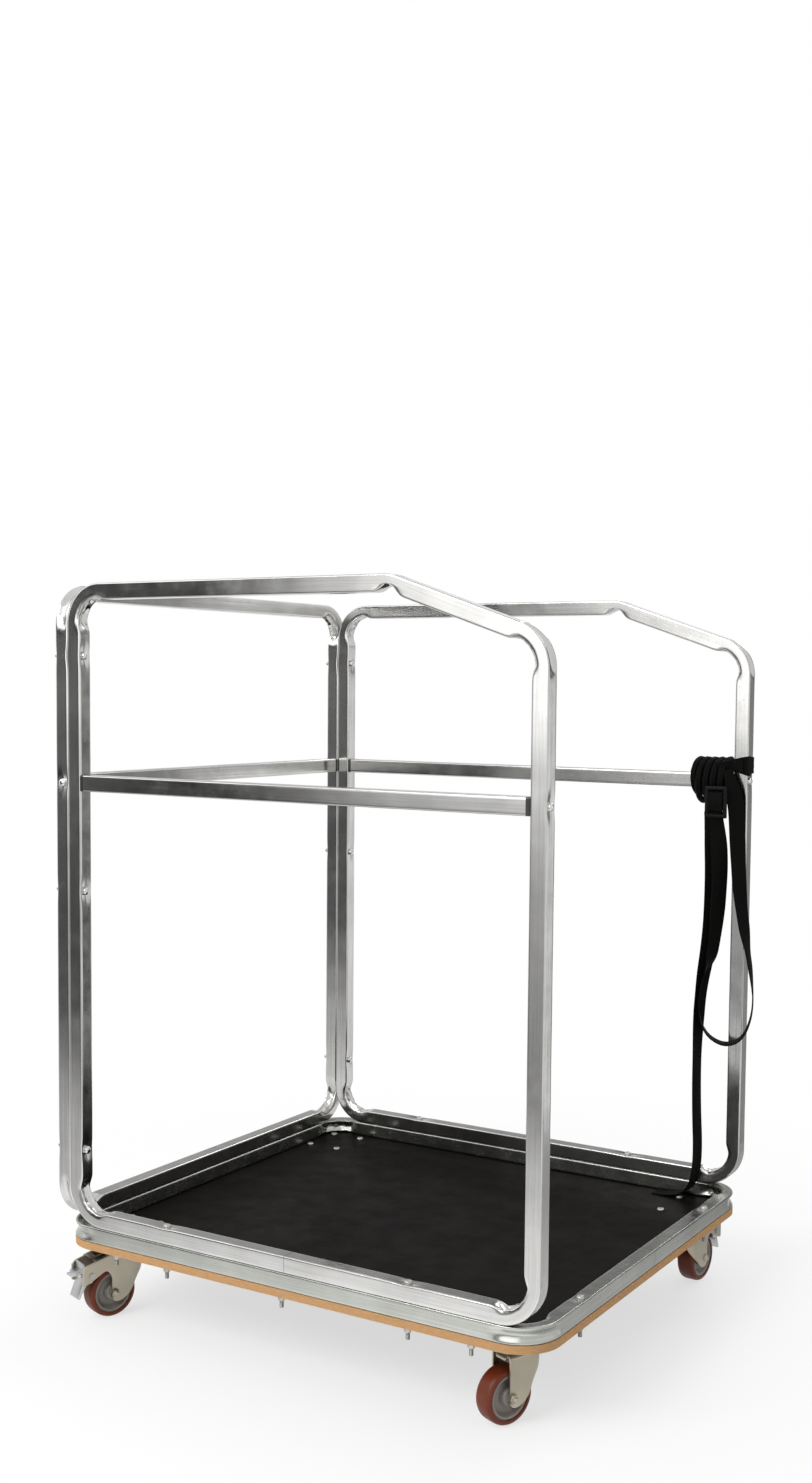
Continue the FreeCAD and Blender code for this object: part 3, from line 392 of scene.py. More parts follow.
def zinc_finish(name, colour, low, high, drawn_tube=False):
    """Zinc-plated steel: mottling, a changing polish, dark specks and, on a tube, streaks along its run."""
    material, tree, shader = new_finish(name, colour, low, 1.0)
    patches = ramp(tree, cloud(tree, 11, 5), (0.32, 0.84), (0.66, 1.0))
    specks = ramp(tree, cloud(tree, 150, 2), (0.24, 0.72), (0.29, 1.0))
    marks = multiplied(tree, patches, specks)
    polish = ramp(tree, cloud(tree, 38, 5), (0.3, low), (0.75, high))
    if drawn_tube:
        run = add_node(tree, "ShaderNodeAttribute", attribute_name="tube_run").outputs["Vector"]
        lines = add_node(tree, "ShaderNodeMapping", {"Vector": run, "Scale": (5, 330, 330)})
        streaks = cloud(tree, 1, 4, lines.outputs["Vector"], 0.6)
        marks = multiplied(tree, marks, ramp(tree, streaks, (0.3, 0.80), (0.7, 1.0)))
        polish = multiplied(tree, polish, ramp(tree, streaks, (0.3, 1.0), (0.7, 0.7)))
        bumped(tree, shader, streaks, 0.10, 0.25 * MM)
    tint = ramp(tree, patches, (0.0, colour), (1.0, colour))
    tree.links.new(multiplied(tree, marks, tint), shader.inputs["Base Color"])
    tree.links.new(polish, shader.inputs["Roughness"])
    bumped(tree, shader, cloud(tree, 520, 2), 0.05, 0.2 * MM)
    return material


def ply_finish(colours):
    """Film-faced plywood: dark film on both faces and bare layers along the edge."""
    material, tree, shader = new_finish("film_faced_ply", colours.film, 0.36, specular=0.025)
    normal = add_node(tree, "ShaderNodeNewGeometry").outputs["Normal"]
    upright = add_node(tree, "ShaderNodeSeparateXYZ", {"Vector": normal}).outputs["Z"]
    upright_edge = maths(tree, "LESS_THAN", maths(tree, "ABSOLUTE", upright), 0.9)
    where = placed_at(tree)
    low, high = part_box("deck_board")
    inside = [(high.x - low.x) / 2 - RIM_CORNER, (high.y - low.y) / 2 - RIM_CORNER, 1]
    past = vector_maths(tree, "SUBTRACT", vector_maths(tree, "ABSOLUTE", where), inside)
    reach = vector_maths(tree, "LENGTH", vector_maths(tree, "MAXIMUM", past))
    rim = maths(tree, "GREATER_THAN", reach, RIM_CORNER - 3 * MM)
    edge = maths(tree, "MAXIMUM", upright_edge, rim)
    height = add_node(tree, "ShaderNodeSeparateXYZ", {"Vector": where}).outputs["Z"]
    lifted = maths(tree, "MULTIPLY_ADD", cloud(tree, 30, 3, where), 0.6 * MM, height)
    share = maths(tree, "DIVIDE", maths(tree, "PINGPONG", lifted, PLY_LAYER), PLY_LAYER)
    grain = cloud(tree, 1, 4, placed_at(tree, (90, 90, 900)))
    bands = ramp(tree, share, (0.3, colours.ply_light), (0.7, colours.ply_dark))
    wood = multiplied(tree, bands, ramp(tree, grain, (0.3, 0.8), (0.7, 1.0)))
    scuffs = ramp(tree, cloud(tree, 9, 6, where, 0.65), (0.45, colours.film), (0.8, shade(colours.film, 2.2)))
    tree.links.new(mixed(tree, edge, scuffs, wood), shader.inputs["Base Color"])
    polish = ramp(tree, cloud(tree, 24, 5, where), (0.35, 0.34), (0.7, 0.5))
    tree.links.new(maths(tree, "MULTIPLY_ADD", edge, 0.25, polish), shader.inputs["Roughness"])
    bumped(tree, shader, grain, 0.12, 0.3 * MM)
    return material


def tread_finish(colour):
    """Cast polyurethane, worn paler on its running face."""
    material, tree, shader = new_finish("red_brown_tread", colour, 0.42, specular=0.3)
    worn = ramp(tree, cloud(tree, 46, 5), (0.42, colour), (0.85, (0.12, 0.03, 0.009)))
    tree.links.new(worn, shader.inputs["Base Color"])
    tree.links.new(ramp(tree, cloud(tree, 60, 4), (0.3, 0.32), (0.7, 0.55)), shader.inputs["Roughness"])
    bumped(tree, shader, cloud(tree, 300, 3), 0.1, 0.3 * MM)
    return material


def moulded_finish(name, colour, roughness, dust=0.05, shine=0.5):
    """Moulded plastic with a fine grain and a little dust."""
    material, tree, shader = new_finish(name, colour, roughness, specular=shine)
    dusty = ramp(tree, cloud(tree, 40, 4), (0.4, colour), (0.85, tuple(0.75 * c + dust for c in colour)))
    tree.links.new(dusty, shader.inputs["Base Color"])
    bumped(tree, shader, cloud(tree, 700, 2), 0.08, 0.15 * MM)
    return material


def webbing_finish(colour):
    """Woven black webbing: ribs along and across its own surface, in metres, with painted shade in the
    hollows of the weave and a painted highlight on its ribs.
    """
    material, tree, shader = new_finish("black_webbing", colour, 0.72, specular=0.06)
    threads = []
    for way, scale, uneven in (("X", (1 / (2.0 * MM), 0, 0), 0.2), ("Y", (0, 1 / (2.6 * MM), 0), 0.4)):
        inputs = {"Vector": placed_at(tree, scale, "UV"), "Scale": 1.0, "Distortion": uneven}
        threads.append(add_node(tree, "ShaderNodeTexWave", inputs, bands_direction=way).outputs["Fac"])
    weave = maths(tree, "MULTIPLY", *threads)
    # Painted shade and painted highlight: the colour is darker where the weave is low and lighter where it is
    # high, following the same pattern as the bump below
    tint = ramp(tree, weave, (0.0, shade(colour, 0.6)), (1.0, shade(colour, 1.7)))
    tree.links.new(tint, shader.inputs["Base Color"])
    bumped(tree, shader, weave, 0.35, 0.4 * MM)
    shader.inputs["Sheen Weight"].default_value = 0.006
    shader.inputs["Sheen Roughness"].default_value = 0.5
    return material


FINISHES = {}


def finish_named(name):
    """The finishes, made when the first piece asks for one."""
    if not FINISHES:
        colours = bpy.context.scene.trolley_colours
        paint = {part: tuple(getattr(colours, part)) for part in TrolleyColours.__annotations__}
        FINISHES.update(
            frame=zinc_finish("bright_zinc_tube", paint["zinc"], 0.15, 0.28, True),
            ring=zinc_finish("dull_zinc_ring", paint["ring_zinc"], 0.22, 0.36, True),
            castor=zinc_finish("yellowed_zinc", paint["castor_zinc"], 0.32, 0.5),
            fastener=zinc_finish("zinc_fastener", paint["fastener"], 0.36, 0.55),
            clamp=zinc_finish("polished_zinc", paint["zinc"], 0.1, 0.2),
            ply=ply_finish(colours),
            tread=tread_finish(paint["tread"]),
            hub=moulded_finish("grey_hub", paint["hub"], 0.45),
            plastic=moulded_finish("black_plastic", paint["plastic"], 0.34),
            buckle=moulded_finish("buckle_moulding", paint["webbing"], 0.42, 0.002, 0.12),
            pedal=zinc_finish("pedal_zinc", paint["pedal"], 0.28, 0.46),
            webbing=webbing_finish(paint["webbing"]),
        )
    return FINISHES[name]


# Bent tubes

def plan_tube(corners, radius):
    """Straight runs and bends of a tube that turns at every corner between its two ends."""
    steps, at, going = [], corners[0], (corners[1] - corners[0]).normalized()
    for before, corner, after in zip(corners, corners[1:], corners[2:]):
        coming, going = (corner - before).normalized(), (after - corner).normalized()
        turn = coming.angle(going)
        setback = radius * math.tan(turn / 2)
        start = corner - coming * setback
        axis = coming.cross(going).normalized()
        steps.append({"kind": "run", "start": at, "end": start, "along": coming})
        steps.append({"kind": "bend", "centre": start + axis.cross(coming) * radius, "axis": axis,
                      "turn": turn, "coming": coming, "going": going, "radius": radius})
        at = corner + going * setback
    steps.append({"kind": "run", "start": at, "end": corners[-1], "along": going})
    return steps


def tube_hoop(name, at, along, axis, corner):
    """The tube's rounded square outline, standing across its run, in edit mode."""
    clear_selection()
    bpy.ops.mesh.primitive_plane_add(size=TUBE)
    piece = bpy.context.object
    piece.name = name
    turn = Matrix((axis, along.cross(axis), along)).transposed().to_4x4()
    piece.matrix_world = Matrix.Translation(at) @ turn
    bpy.ops.object.transform_apply(location=True, rotation=True, scale=True)
    bpy.ops.object.mode_set(mode="EDIT")
    bpy.ops.mesh.select_mode(type="VERT")
    bpy.ops.mesh.select_all(action="SELECT")
    bpy.ops.mesh.bevel(offset=corner, segments=4, profile=0.5, affect="VERTICES")
    choose(piece, "EDGE", lambda edge: edge.calc_length() > 2 * corner)
    bpy.ops.mesh.subdivide(number_cuts=9)
    bpy.ops.mesh.select_all(action="SELECT")
    bpy.ops.mesh.delete(type="ONLY_FACE")
    bpy.ops.mesh.select_all(action="SELECT")
    return piece


def run_on(piece, step, spacing):
    """Extrude the selected hoop along a straight run, in stretches that are divided into rings."""
    run = step["end"] - step["start"]
    count = math.ceil(run.length / (90 * spacing))
    stretch = run / count
    cuts = round(stretch.length / spacing) - 1
    for number in range(1, count + 1):
        end = step["start"] + stretch * number
        bpy.ops.mesh.extrude_edges_move(TRANSFORM_OT_translate={"value": stretch})
        if cuts > 0:
            choose(piece, "EDGE", lambda edge: abs(edge.calc_length() - stretch.length) < 0.01 * MM
                   and abs((edge.verts[0].co - edge.verts[1].co).normalized().dot(step["along"])) > 0.999)
            bpy.ops.mesh.subdivide(number_cuts=cuts)
        choose(piece, "EDGE", lambda edge: all(abs((vert.co - end).dot(step["along"])) < 0.02 * MM
                                               and (vert.co - end).length < TUBE for vert in edge.verts))


def in_bend(place, bend, reach):
    """Where a point lies in a bend: along it, out from its middle line, across it, and the way outwards."""
    offset = place - bend["centre"]
    across = offset.dot(bend["axis"])
    if abs(across) > TUBE:
        return None
    out = bend["coming"].cross(bend["axis"])
    x, y = offset.dot(out), offset.dot(bend["coming"])
    angle = math.atan2(y, x)
    length = bend["turn"] * bend["radius"]
    if 0 <= angle <= bend["turn"]:
        outward = Matrix.Rotation(angle, 3, bend["axis"]) @ out
        along, from_middle = angle * bend["radius"], math.hypot(x, y) - bend["radius"]
    elif -reach < y < 0:
        outward, along, from_middle = out, y, x - bend["radius"]
    else:
        outward = bend["going"].cross(bend["axis"])
        along = offset.dot(bend["going"])
        if not 0 <= along < reach:
            return None
        along, from_middle = along + length, offset.dot(outward) - bend["radius"]
    if abs(from_middle) > TUBE:
        return None
    return along, from_middle, across, outward


def note_run(piece, steps, axis):
    """Keep for every vertex how far along the tube it lies and where in its section, for the streaks."""
    marks = piece.data.attributes.new("tube_run", "FLOAT_VECTOR", "POINT")
    for vert, mark in zip(piece.data.vertices, marks.data):
        travelled = 0
        for step in steps:
            if step["kind"] == "run":
                offset = vert.co - step["start"]
                along = offset.dot(step["along"])
                side = offset - step["along"] * along
                length = (step["end"] - step["start"]).length
                found = -0.1 * MM <= along <= length + 0.1 * MM and side.length < TUBE
                across = side.dot(axis)
                out = side.dot(step["along"].cross(axis))
            else:
                place = in_bend(vert.co, step, 0)
                length = step["turn"] * step["radius"]
                found = place is not None
                along, out, across = place[:3] if found else (0, 0, 0)
            if found:
                mark.vector = (travelled + along, across, out)
                break
            travelled += length


def crush_bend(vertices, bend, sizes):
    """A bend as made: inner wall pressed in and rippled, outer wall drawn in between two ridges."""
    half = TUBE / 2
    length = bend["turn"] * bend["radius"]
    sharp = min(1, bend["turn"] / 1.2)
    fade = (14 + 8 * (1 - sharp)) * MM
    for vert in vertices:
        found = in_bend(vert.co, bend, fade)
        if not found:
            continue
        along, from_middle, across, outward = found
        share = across / half
        press = ease((along + fade) / (1.6 * fade)) * ease((length - along + fade) / (1.6 * fade))
        if from_middle > 0:
            wall = min(1, max(0, (from_middle / half - 0.3) / 0.7))
            hollow = max(0, 1 - math.hypot(share, 0.14) / 0.8)
            vert.co -= outward * sizes.groove * sharp * press * wall * hollow
        else:
            wall = min(1, max(0, (-from_middle / half - 0.05) / 0.95))
            ripple = math.sin(along / (4.2 * MM)) * 0.9 * MM * (1 - share * share)
            rough = noise.noise(vert.co * 160) * 1.1 * MM
            edges = 0.95 - 1.5 * sharp
            lift = sizes.crush * (1 + edges * share * share) + (ripple + rough) * sharp
            vert.co += outward * lift * press * wall
            vert.co -= bend["axis"] * across * 0.24 * press * wall * wall


def draw_in(vertices, at, inward, along, depth, rim):
    """A hollow in the wall round a bolt, with a share of its depth at the wall's edges."""
    across = inward.cross(along)
    for vert in vertices:
        offset = vert.co - at
        near = 1 - abs(offset.dot(inward)) / (TUBE / 2)
        share = min(1, abs(offset.dot(across)) / (TUBE / 2))
        if near > 0 and abs(offset.dot(across)) < TUBE and abs(offset.dot(along)) < 3 * DENT_REACH:
            hollow = rim + (1 - rim) * (1 - share)
            vert.co += inward * depth * math.exp(-(offset.dot(along) / DENT_REACH) ** 2) * hollow * near


def square_tube(name, corners, dents, sizes, spacing):
    """A square tube bent round its corners, with its crushed bends, its dents and slightly wavy walls."""
    steps = plan_tube(corners, sizes.bend_radius)
    bends = [step for step in steps if step["kind"] == "bend"]
    axis = bends[0]["axis"] if bends else Vector(UP)
    piece = tube_hoop(name, corners[0], steps[0]["along"], axis, sizes.tube_corner)
    for step in steps:
        if step["kind"] == "run":
            run_on(piece, step, spacing)
        else:
            count = max(8, round(step["turn"] * step["radius"] / (2.6 * MM)))
            bpy.ops.mesh.spin(steps=count, angle=-step["turn"], center=step["centre"], axis=step["axis"])
    closed_up(piece, fill=True)
    note_run(piece, steps, axis)
    vertices = piece.data.vertices
    waves = [vert.normal * noise.noise(vert.co * 22) * 0.14 * MM for vert in vertices]
    for vert, wave in zip(vertices, waves):
        vert.co += wave
    for bend in bends:
        crush_bend(vertices, bend, sizes)
    for at, inward, along, depth, rim in dents:
        draw_in(vertices, Vector(at), Vector(inward), Vector(along), depth, rim)
    return smoothed(piece, 40)


def fit_tube(name, corners, dents=(), finish="frame", spacing=5 * MM):
    """Make a tube and put it in place of its CAD node."""
    sizes = bpy.context.scene.trolley_sizes
    piece = square_tube(name + "_tube", [Vector(corner) for corner in corners], dents, sizes, spacing)
    fitted(piece, name + "_tube", "trolley", finish_named(finish), finish + "_tube", name)


class TROLLEY_OT_crossbars(bpy.types.Operator):
    """Cut the three crossbars"""
    bl_idname = "trolley.crossbars"
    bl_label = "Crossbars"

    def execute(self, context):
        for name in ("front_crossbar", "rear_crossbar", "side_crossbar"):
            low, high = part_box(name)
            size, middle = high - low, (high + low) / 2
            along = Vector(RIGHT) if size.x > size.y else Vector((0, 1, 0))
            half = along * max(size.x, size.y) / 2
            fit_tube(name, [middle - half, middle + half], spacing=10 * MM)
        return {"FINISHED"}


class TROLLEY_OT_frames(bpy.types.Operator):
    """Bend the front, rear and side frames and the base ring"""
    bl_idname = "trolley.frames"
    bl_label = "Frames and base ring"

    def execute(self, context):
        sizes = context.scene.trolley_sizes
        gap, half, dent = sizes.seam_gap / 2, TUBE / 2, sizes.dent
        shoulder = RAIL_HIGH - sizes.shoulder_drop
        for y, name in zip(SIDES, ("front_frame", "rear_frame")):
            places = [(SEAM + gap, RAIL_LOW), (POST_RIGHT, RAIL_LOW), (POST_RIGHT, shoulder),
                      (POST_RIGHT - sizes.kink_run, RAIL_HIGH), (POST_LEFT, RAIL_HIGH), (POST_LEFT, RAIL_LOW),
                      (SEAM - gap, RAIL_LOW)]
            dents = [((POST_LEFT + half, y, z), LEFT, UP, 1.5 * dent, 0.25) for z in CLAMPS]
            dents.append(((POST_LEFT - half, y, CLAMPS[-1]), LEFT, UP, dent, 1))
            dents += [((x, y, RAIL_LOW + half), DOWN, RIGHT, dent, 0.4) for x in RAIL_BOLTS]
            dents.append(((POST_RIGHT + half, y, CROSSBAR), LEFT, UP, 1.2 * dent, 0.3))
            fit_tube(name, [(x, y, z) for x, z in places], dents)
        places = [(gap, RAIL_LOW), (POST_BACK, RAIL_LOW), (POST_BACK, RAIL_HIGH), (-POST_BACK, RAIL_HIGH),
                  (-POST_BACK, RAIL_LOW), (-gap, RAIL_LOW)]
        dents = []
        for y in SIDES:
            side = math.copysign(1, y)
            dents += [((SIDE_POST - half, y, z), RIGHT, UP, dent, 0.4) for z in CLAMPS]
            dents.append(((SIDE_POST + half, y, CLAMPS[-1]), LEFT, UP, dent, 1))
            dents.append(((SIDE_POST, y + side * half, CROSSBAR), (0, -side, 0), UP, 1.4 * dent, 0.2))
        fit_tube("side_frame", [(SIDE_POST, y, z) for y, z in places], dents)
        middle = (RING_LOW.z + RING_HIGH.z) / 2
        places = [(POST_RIGHT, gap), (POST_RIGHT, POST_BACK), (SIDE_POST, POST_BACK), (SIDE_POST, -POST_BACK),
                  (POST_RIGHT, -POST_BACK), (POST_RIGHT, -gap)]
        dents = [((POST_RIGHT, y, RING_HIGH.z), DOWN, (0, 1, 0), dent, 0.4) for y in RING_BOLTS]
        fit_tube("base_ring", [(x, y, middle) for x, y in places], dents, "ring")
        return {"FINISHED"}


class TROLLEY_OT_plain_parts(bpy.types.Operator):
    """Finish the parts whose CAD shape is kept"""
    bl_idname = "trolley.plain_parts"
    bl_label = "Deck, plugs and small parts"

    def execute(self, context):
        painted(finish_named("ply"), "deck_board")
        painted(finish_named("frame"), "joint_sleeves")
        painted(finish_named("plastic"), "crossbar_plugs")
        painted(finish_named("castor"), "castor_plates")
        painted(finish_named("fastener"), "deck_washers", "castor_bolts", "castor_nuts", "castor_kingpins")
        for name in CASTORS:
            painted(finish_named("fastener"), f"{name}_axle_bush", f"{name}_swivel_balls")
            if name in BRAKED:
                painted(finish_named("fastener"), f"{name}_brake_pin")
        return {"FINISHED"}


# Fasteners

NUT_M6 = {"flats": 10 * MM, "height": 8 * MM, "bore": 3.05 * MM}
NUT_M8 = {"flats": 13 * MM, "height": 6.5 * MM, "bore": 4.05 * MM}


def domed_bolt(name, length, shank=3 * MM, head=6 * MM, height=3.4 * MM, skirt=3.8 * MM, thread=0.0):
    """A bolt along -Z under a domed head; its skirt fills the dent under the head."""
    dome = [(0, 1), (0.3, 0.97), (0.58, 0.83), (0.8, 0.6), (0.94, 0.3), (1, 0.04)]
    profile = [(out * head, up * height) for out, up in dome]
    profile += [(head, -skirt), (shank, -skirt - 0.1 * MM)]
    for number in range(int(thread / MM)):
        low = -length + thread - number * MM
        profile += [(shank, low), (shank, low - 0.2 * MM), (shank - 0.42 * MM, low - 0.6 * MM)]
    profile += [(shank, 0.7 * MM - length), (shank - 0.6 * MM, -length), (0, -length)]
    return smoothed(turned(name, profile, 28), 38)


def lock_nut(name, flats, height, bore):
    """A chamfered hexagon nut along +Z with the collar of a lock nut."""
    radius = flats / math.sqrt(3)
    corners = [(radius * math.cos(n * math.pi / 3), radius * math.sin(n * math.pi / 3), 0) for n in range(6)]
    body = eased(plate(name, corners, (0, 0, 0.74 * height)), 0.55 * MM)
    wall = flats / 2 - 0.7 * MM
    collar = turned("collar", [(bore, 0.7 * height), (wall, 0.7 * height), (wall, 0.93 * height),
                               (wall - 0.8 * MM, height), (bore + 0.5 * MM, height), (bore, 0.95 * height),
                               (bore, 0.7 * height)], 28)
    return smoothed(joined([body, collar], name), 35)


def facing(place, way):
    """A place for a piece made along +Z, turned to point another way."""
    return Matrix.Translation(place) @ Vector(UP).rotation_difference(Vector(way)).to_matrix().to_4x4()


def strewn(pattern, places, name, finish, node):
    """Copies of a small piece at each place, joined to stand for one CAD node."""
    piece = joined([copied(pattern, place) for place in places], name)
    fitted(piece, name, "trolley", finish, "fasteners", node)
    discard(pattern)


class TROLLEY_OT_fasteners(bpy.types.Operator):
    """Set the domed bolts, screws and lock nuts of frames, ring and deck"""
    bl_idname = "trolley.fasteners"
    bl_label = "Bolts, screws and nuts"

    def execute(self, context):
        finish, bright = finish_named("fastener"), finish_named("clamp")
        nut_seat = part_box("deck_washers")[0].z
        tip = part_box("deck_bolts")[0].z
        half = TUBE / 2
        strewn(domed_bolt("post_bolt", 2 * TUBE + 10 * MM),
               [facing((POST_LEFT + half, y, z), RIGHT) for y in SIDES for z in CLAMPS],
               "post_bolt_set", bright, "post_bolts")
        strewn(lock_nut("post_nut", **NUT_M6),
               [facing((SIDE_POST - half, y, z), LEFT) for y in SIDES for z in CLAMPS],
               "post_nut_set", bright, "post_nuts")
        strewn(domed_bolt("crossbar_screw", 48 * MM),
               [facing((POST_RIGHT + half, y, CROSSBAR), RIGHT) for y in SIDES]
               + [facing((POST_LEFT - half, y, CROSSBAR), LEFT) for y in SIDES]
               + [facing((SIDE_POST, y + math.copysign(half, y), CROSSBAR), (0, math.copysign(1, y), 0))
                  for y in SIDES],
               "crossbar_screw_set", bright, "crossbar_screws")
        rail = [(x, y) for x in RAIL_BOLTS for y in SIDES]
        ring = [(POST_RIGHT, y) for y in RING_BOLTS]
        within = [(x, y) for x in HIDDEN_BOLTS for y in SIDES] + [(SIDE_POST, 0)]
        bolts = []
        for spots, seat in ((rail, RAIL_LOW + half), (ring, RING_HIGH.z), (within, RING_LOW.z + 1.5 * MM)):
            pattern = domed_bolt("deck_bolt", seat - tip, thread=12 * MM)
            bolts += [copied(pattern, Matrix.Translation((x, y, seat))) for x, y in spots]
            discard(pattern)
        fitted(joined(bolts, "deck_bolt_set"), "deck_bolt_set", "trolley", finish, "fasteners", "deck_bolts")
        strewn(lock_nut("deck_nut", **NUT_M6),
               [facing((x, y, nut_seat), DOWN) for x, y in rail + ring + within],
               "deck_nut_set", finish, "deck_nuts")
        return {"FINISHED"}


# Castors, made with the swivel axis on Z, the trail along +X and the floor at zero

TRAIL, AXLE, SHEET, LEG, CROWN = 36 * MM, 40 * MM, 2.5 * MM, 18.75 * MM, 107.75 * MM
FOOT, LEG_BACK, BEND, LIP = 26 * MM, 41 * MM, 5 * MM, 7 * MM
FOOT_ROUND, CURL, CURL_RUN = 10 * MM, 10 * MM, 16 * MM
PLAIN_CROWN = CROWN - 10 * MM
ARM_FROM, ARM_SLOPE, ARM_ROUND_FROM, ARM_ROUND, ROOF_END = 65 * MM, 0.24, 86, 0.11, 72 * MM
WINDOW_FROM, WINDOW_TO, WINDOW_HALF = 50 * MM, 64 * MM, 9.6 * MM
FORK_LEVELS = [26, 26.6, 28, 30, 33, 36.5, 40, 45, 50, 55, 60, 65, 70, 75, 79, 83, 87, 91, 95, 99]


def fork_rows(crown):
    """Across the sheet from foot to foot: (side, height, way inwards)."""
    rows = [(LEG, level * MM, (-1, 0)) for level in FORK_LEVELS if level * MM < crown - BEND - MM]
    for step in range(5):
        turn = step * math.pi / 8
        rows.append((LEG - BEND + BEND * math.cos(turn), crown - BEND + BEND * math.sin(turn),
                     (-math.cos(turn), -math.sin(turn))))
    rows += [(side * MM, crown, (0, -1)) for side in (9.5, 4.8)]
    mirrored = [(-side, height, (-in_y, in_z)) for side, height, (in_y, in_z) in rows]
    return mirrored + [(0, crown, (0, -1))] + rows[::-1]


def leading_edge(height):
    """How far the leg reaches ahead of the swivel axis at a height."""
    reaches = [(26, 19), (34, 12), (42, 5), (56, -5), (63, -10), (69, -13.4), (75, -15.2), (84, -16.2),
               (108, -17)]
    return blended(reaches, height / MM, straight) * MM


def leg_sheet(crown, lip):
    """Both legs and the crown, the leading edge curled in and the crown's rear edge turned down in a lip."""
    grid = []
    for side, height, (in_y, in_z) in fork_rows(crown):
        low = max(0, FOOT_ROUND - (height - FOOT))
        corner = FOOT_ROUND * quarter_round(low / FOOT_ROUND)
        ahead, back = leading_edge(height) + corner, LEG_BACK - corner
        curl = CURL * ease((height / MM - 36) / 30) * (0.6 if in_z < -0.5 else 1)
        level = lip * ease((LEG - BEND - abs(side)) / (4 * MM))
        span = min(LIP, (back - ahead) / 3)
        near = [back - span * (1 - math.sin(turn * math.pi / 12)) for turn in (6, 5, 4, 3, 2, 1)]
        line = []
        for reach in near + [back - span + (ahead - back + span) * column / 18 for column in range(19)]:
            turn = min(1, max(0, (ahead + CURL_RUN - reach) / CURL_RUN))
            drop = max(0, (reach - back) / span + 1)
            inward = curl * quarter_round(turn) + level * quarter_round(drop)
            line.append((reach, side + in_y * inward, height + in_z * inward))
        grid.append(line)
    return sheet_of(grid)


def arm_sheet():
    """The brake arms behind the legs and the roof between them, with its window."""
    reaches = [41, 42.5, 44.5, 47, 50, 53, 57, 60, 64, 68, 72, 78, 84, 89, 92]
    underside = [(41, 65), (42.5, 69.5), (44.5, 73.5), (47, 76.5), (50, 78.4), (53, 78.7), (57, 77.3),
                 (60, 75.5), (73, 68.5), (92, 60)]
    grid = []
    for side, height, _ in fork_rows(CROWN):
        if height < ARM_FROM - 0.1 * MM:
            continue
        share = min(1, (height - ARM_FROM) / (CROWN - BEND - ARM_FROM))
        line = []
        for reach in reaches:
            under = blended(underside, reach, straight) * MM
            top = CROWN - BEND - (reach - reaches[0]) * ARM_SLOPE * MM
            round_end = max(0, reach - ARM_ROUND_FROM) ** 2 * ARM_ROUND * MM
            level = under + round_end + (top - 2 * round_end - under) * share
            line.append((reach * MM, side, level + max(0, height - CROWN + BEND)))
        grid.append(line)
    piece = sheet_of(grid)

    def gone(face):
        middle = face.calc_center_median()
        beyond = middle.x > ROOF_END and abs(middle.y) < LEG - 0.2 * MM
        return beyond or (WINDOW_FROM < middle.x < WINDOW_TO and abs(middle.y) < WINDOW_HALF)

    cut_out(piece, gone)
    return piece


def pressed_fork(braked):
    """A pressed fork with its raised ball track."""
    crown = CROWN if braked else PLAIN_CROWN
    sheets = [leg_sheet(crown, 0), arm_sheet()] if braked else [leg_sheet(crown, LIP)]
    piece = closed_up(joined(sheets, "pressed_fork"), merge=0.05 * MM)
    modified(piece, "SOLIDIFY", thickness=SHEET, offset=0)
    eased(piece, 0.5 * MM)
    seat = crown / MM - 0.8
    track = [(5.1, seat), (22, seat), (23.2, seat + 1), (22.6, 108.4), (22, 110), (21, 111), (18.5, 111),
             (16, 110.2), (13.5, 111), (5.1, 111), (5.1, seat)]
    head = turned("ball_track", [(radius * MM, height * MM) for radius, height in track], 56)
    return smoothed(joined([piece, head], "pressed_fork"), 40)


def wheel_part(name, profile):
    """A profile of (radius, half width) mirrored across the wheel and turned about its axle."""
    line = [(radius * MM, across * MM) for radius, across in profile]
    line += [(radius, -across) for radius, across in reversed(line)]
    piece = turned(name, line + line[:1], 72)
    piece.data.transform(Matrix.Translation((TRAIL, 0, AXLE)) @ Matrix.Rotation(math.pi / 2, 4, "X"))
    return smoothed(piece, 40)


def slab(name, outline, width):
    """A side outline of (reach, height) given its width across the castor."""
    points = [(reach * MM, -width / 2 * MM, height * MM) for reach, height in outline]
    return eased(plate(name, points, (0, width * MM, 0)), 0.8 * MM)


def brake_pedal():
    """Boss and shoe on the pin, a broad lower toe, a cross-shaped upper toe and its rib."""
    pieces = [
        slab("boss", [(70, 74), (73.5, 63), (81, 63), (84.5, 69), (84, 82), (80, 83.5), (74, 83),
                      (70.3, 79.5)], 31),
        slab("lower_toe", [(80.5, 64.5), (94.5, 40), (98, 41.8), (86.5, 72)], 28),
        slab("upper_toe", [(82, 76.5), (106, 77.5), (106, 80.8), (92, 82.6), (82, 83)], 17),
        slab("upper_cross", [(87, 77.2), (97, 77.5), (97, 81.6), (87, 82.6)], 33),
        slab("rib", [(83.6, 81), (87.6, 81), (87.2, 95), (84.2, 95)], 30),
    ]
    return smoothed(joined(pieces, "brake_pedal"), 35)


def castor_place(name):
    axis = JOINTS[f"{name}_wheel_roll"]["axis"]
    at = JOINTS[f"{name}_swivel_turn"]["pos_m"]
    heading = math.atan2(-axis[0], axis[1])
    return Matrix.Translation((at[0], at[1], 0)) @ Matrix.Rotation(heading, 4, "Z")


TREAD_LINE = [(32, 15), (34.5, 15), (36.6, 14.4), (38.3, 13), (39.3, 11), (39.8, 8.6), (40, 5.5), (40, 1)]
HUB_LINE = [(6.05, 15), (11.4, 15), (12, 14.4), (12.6, 9.5), (14.2, 5.4), (17.6, 4), (22, 4.2), (25, 6.4),
            (27, 11), (27.6, 13), (28.3, 13.5), (31.4, 13.5), (32, 13)]


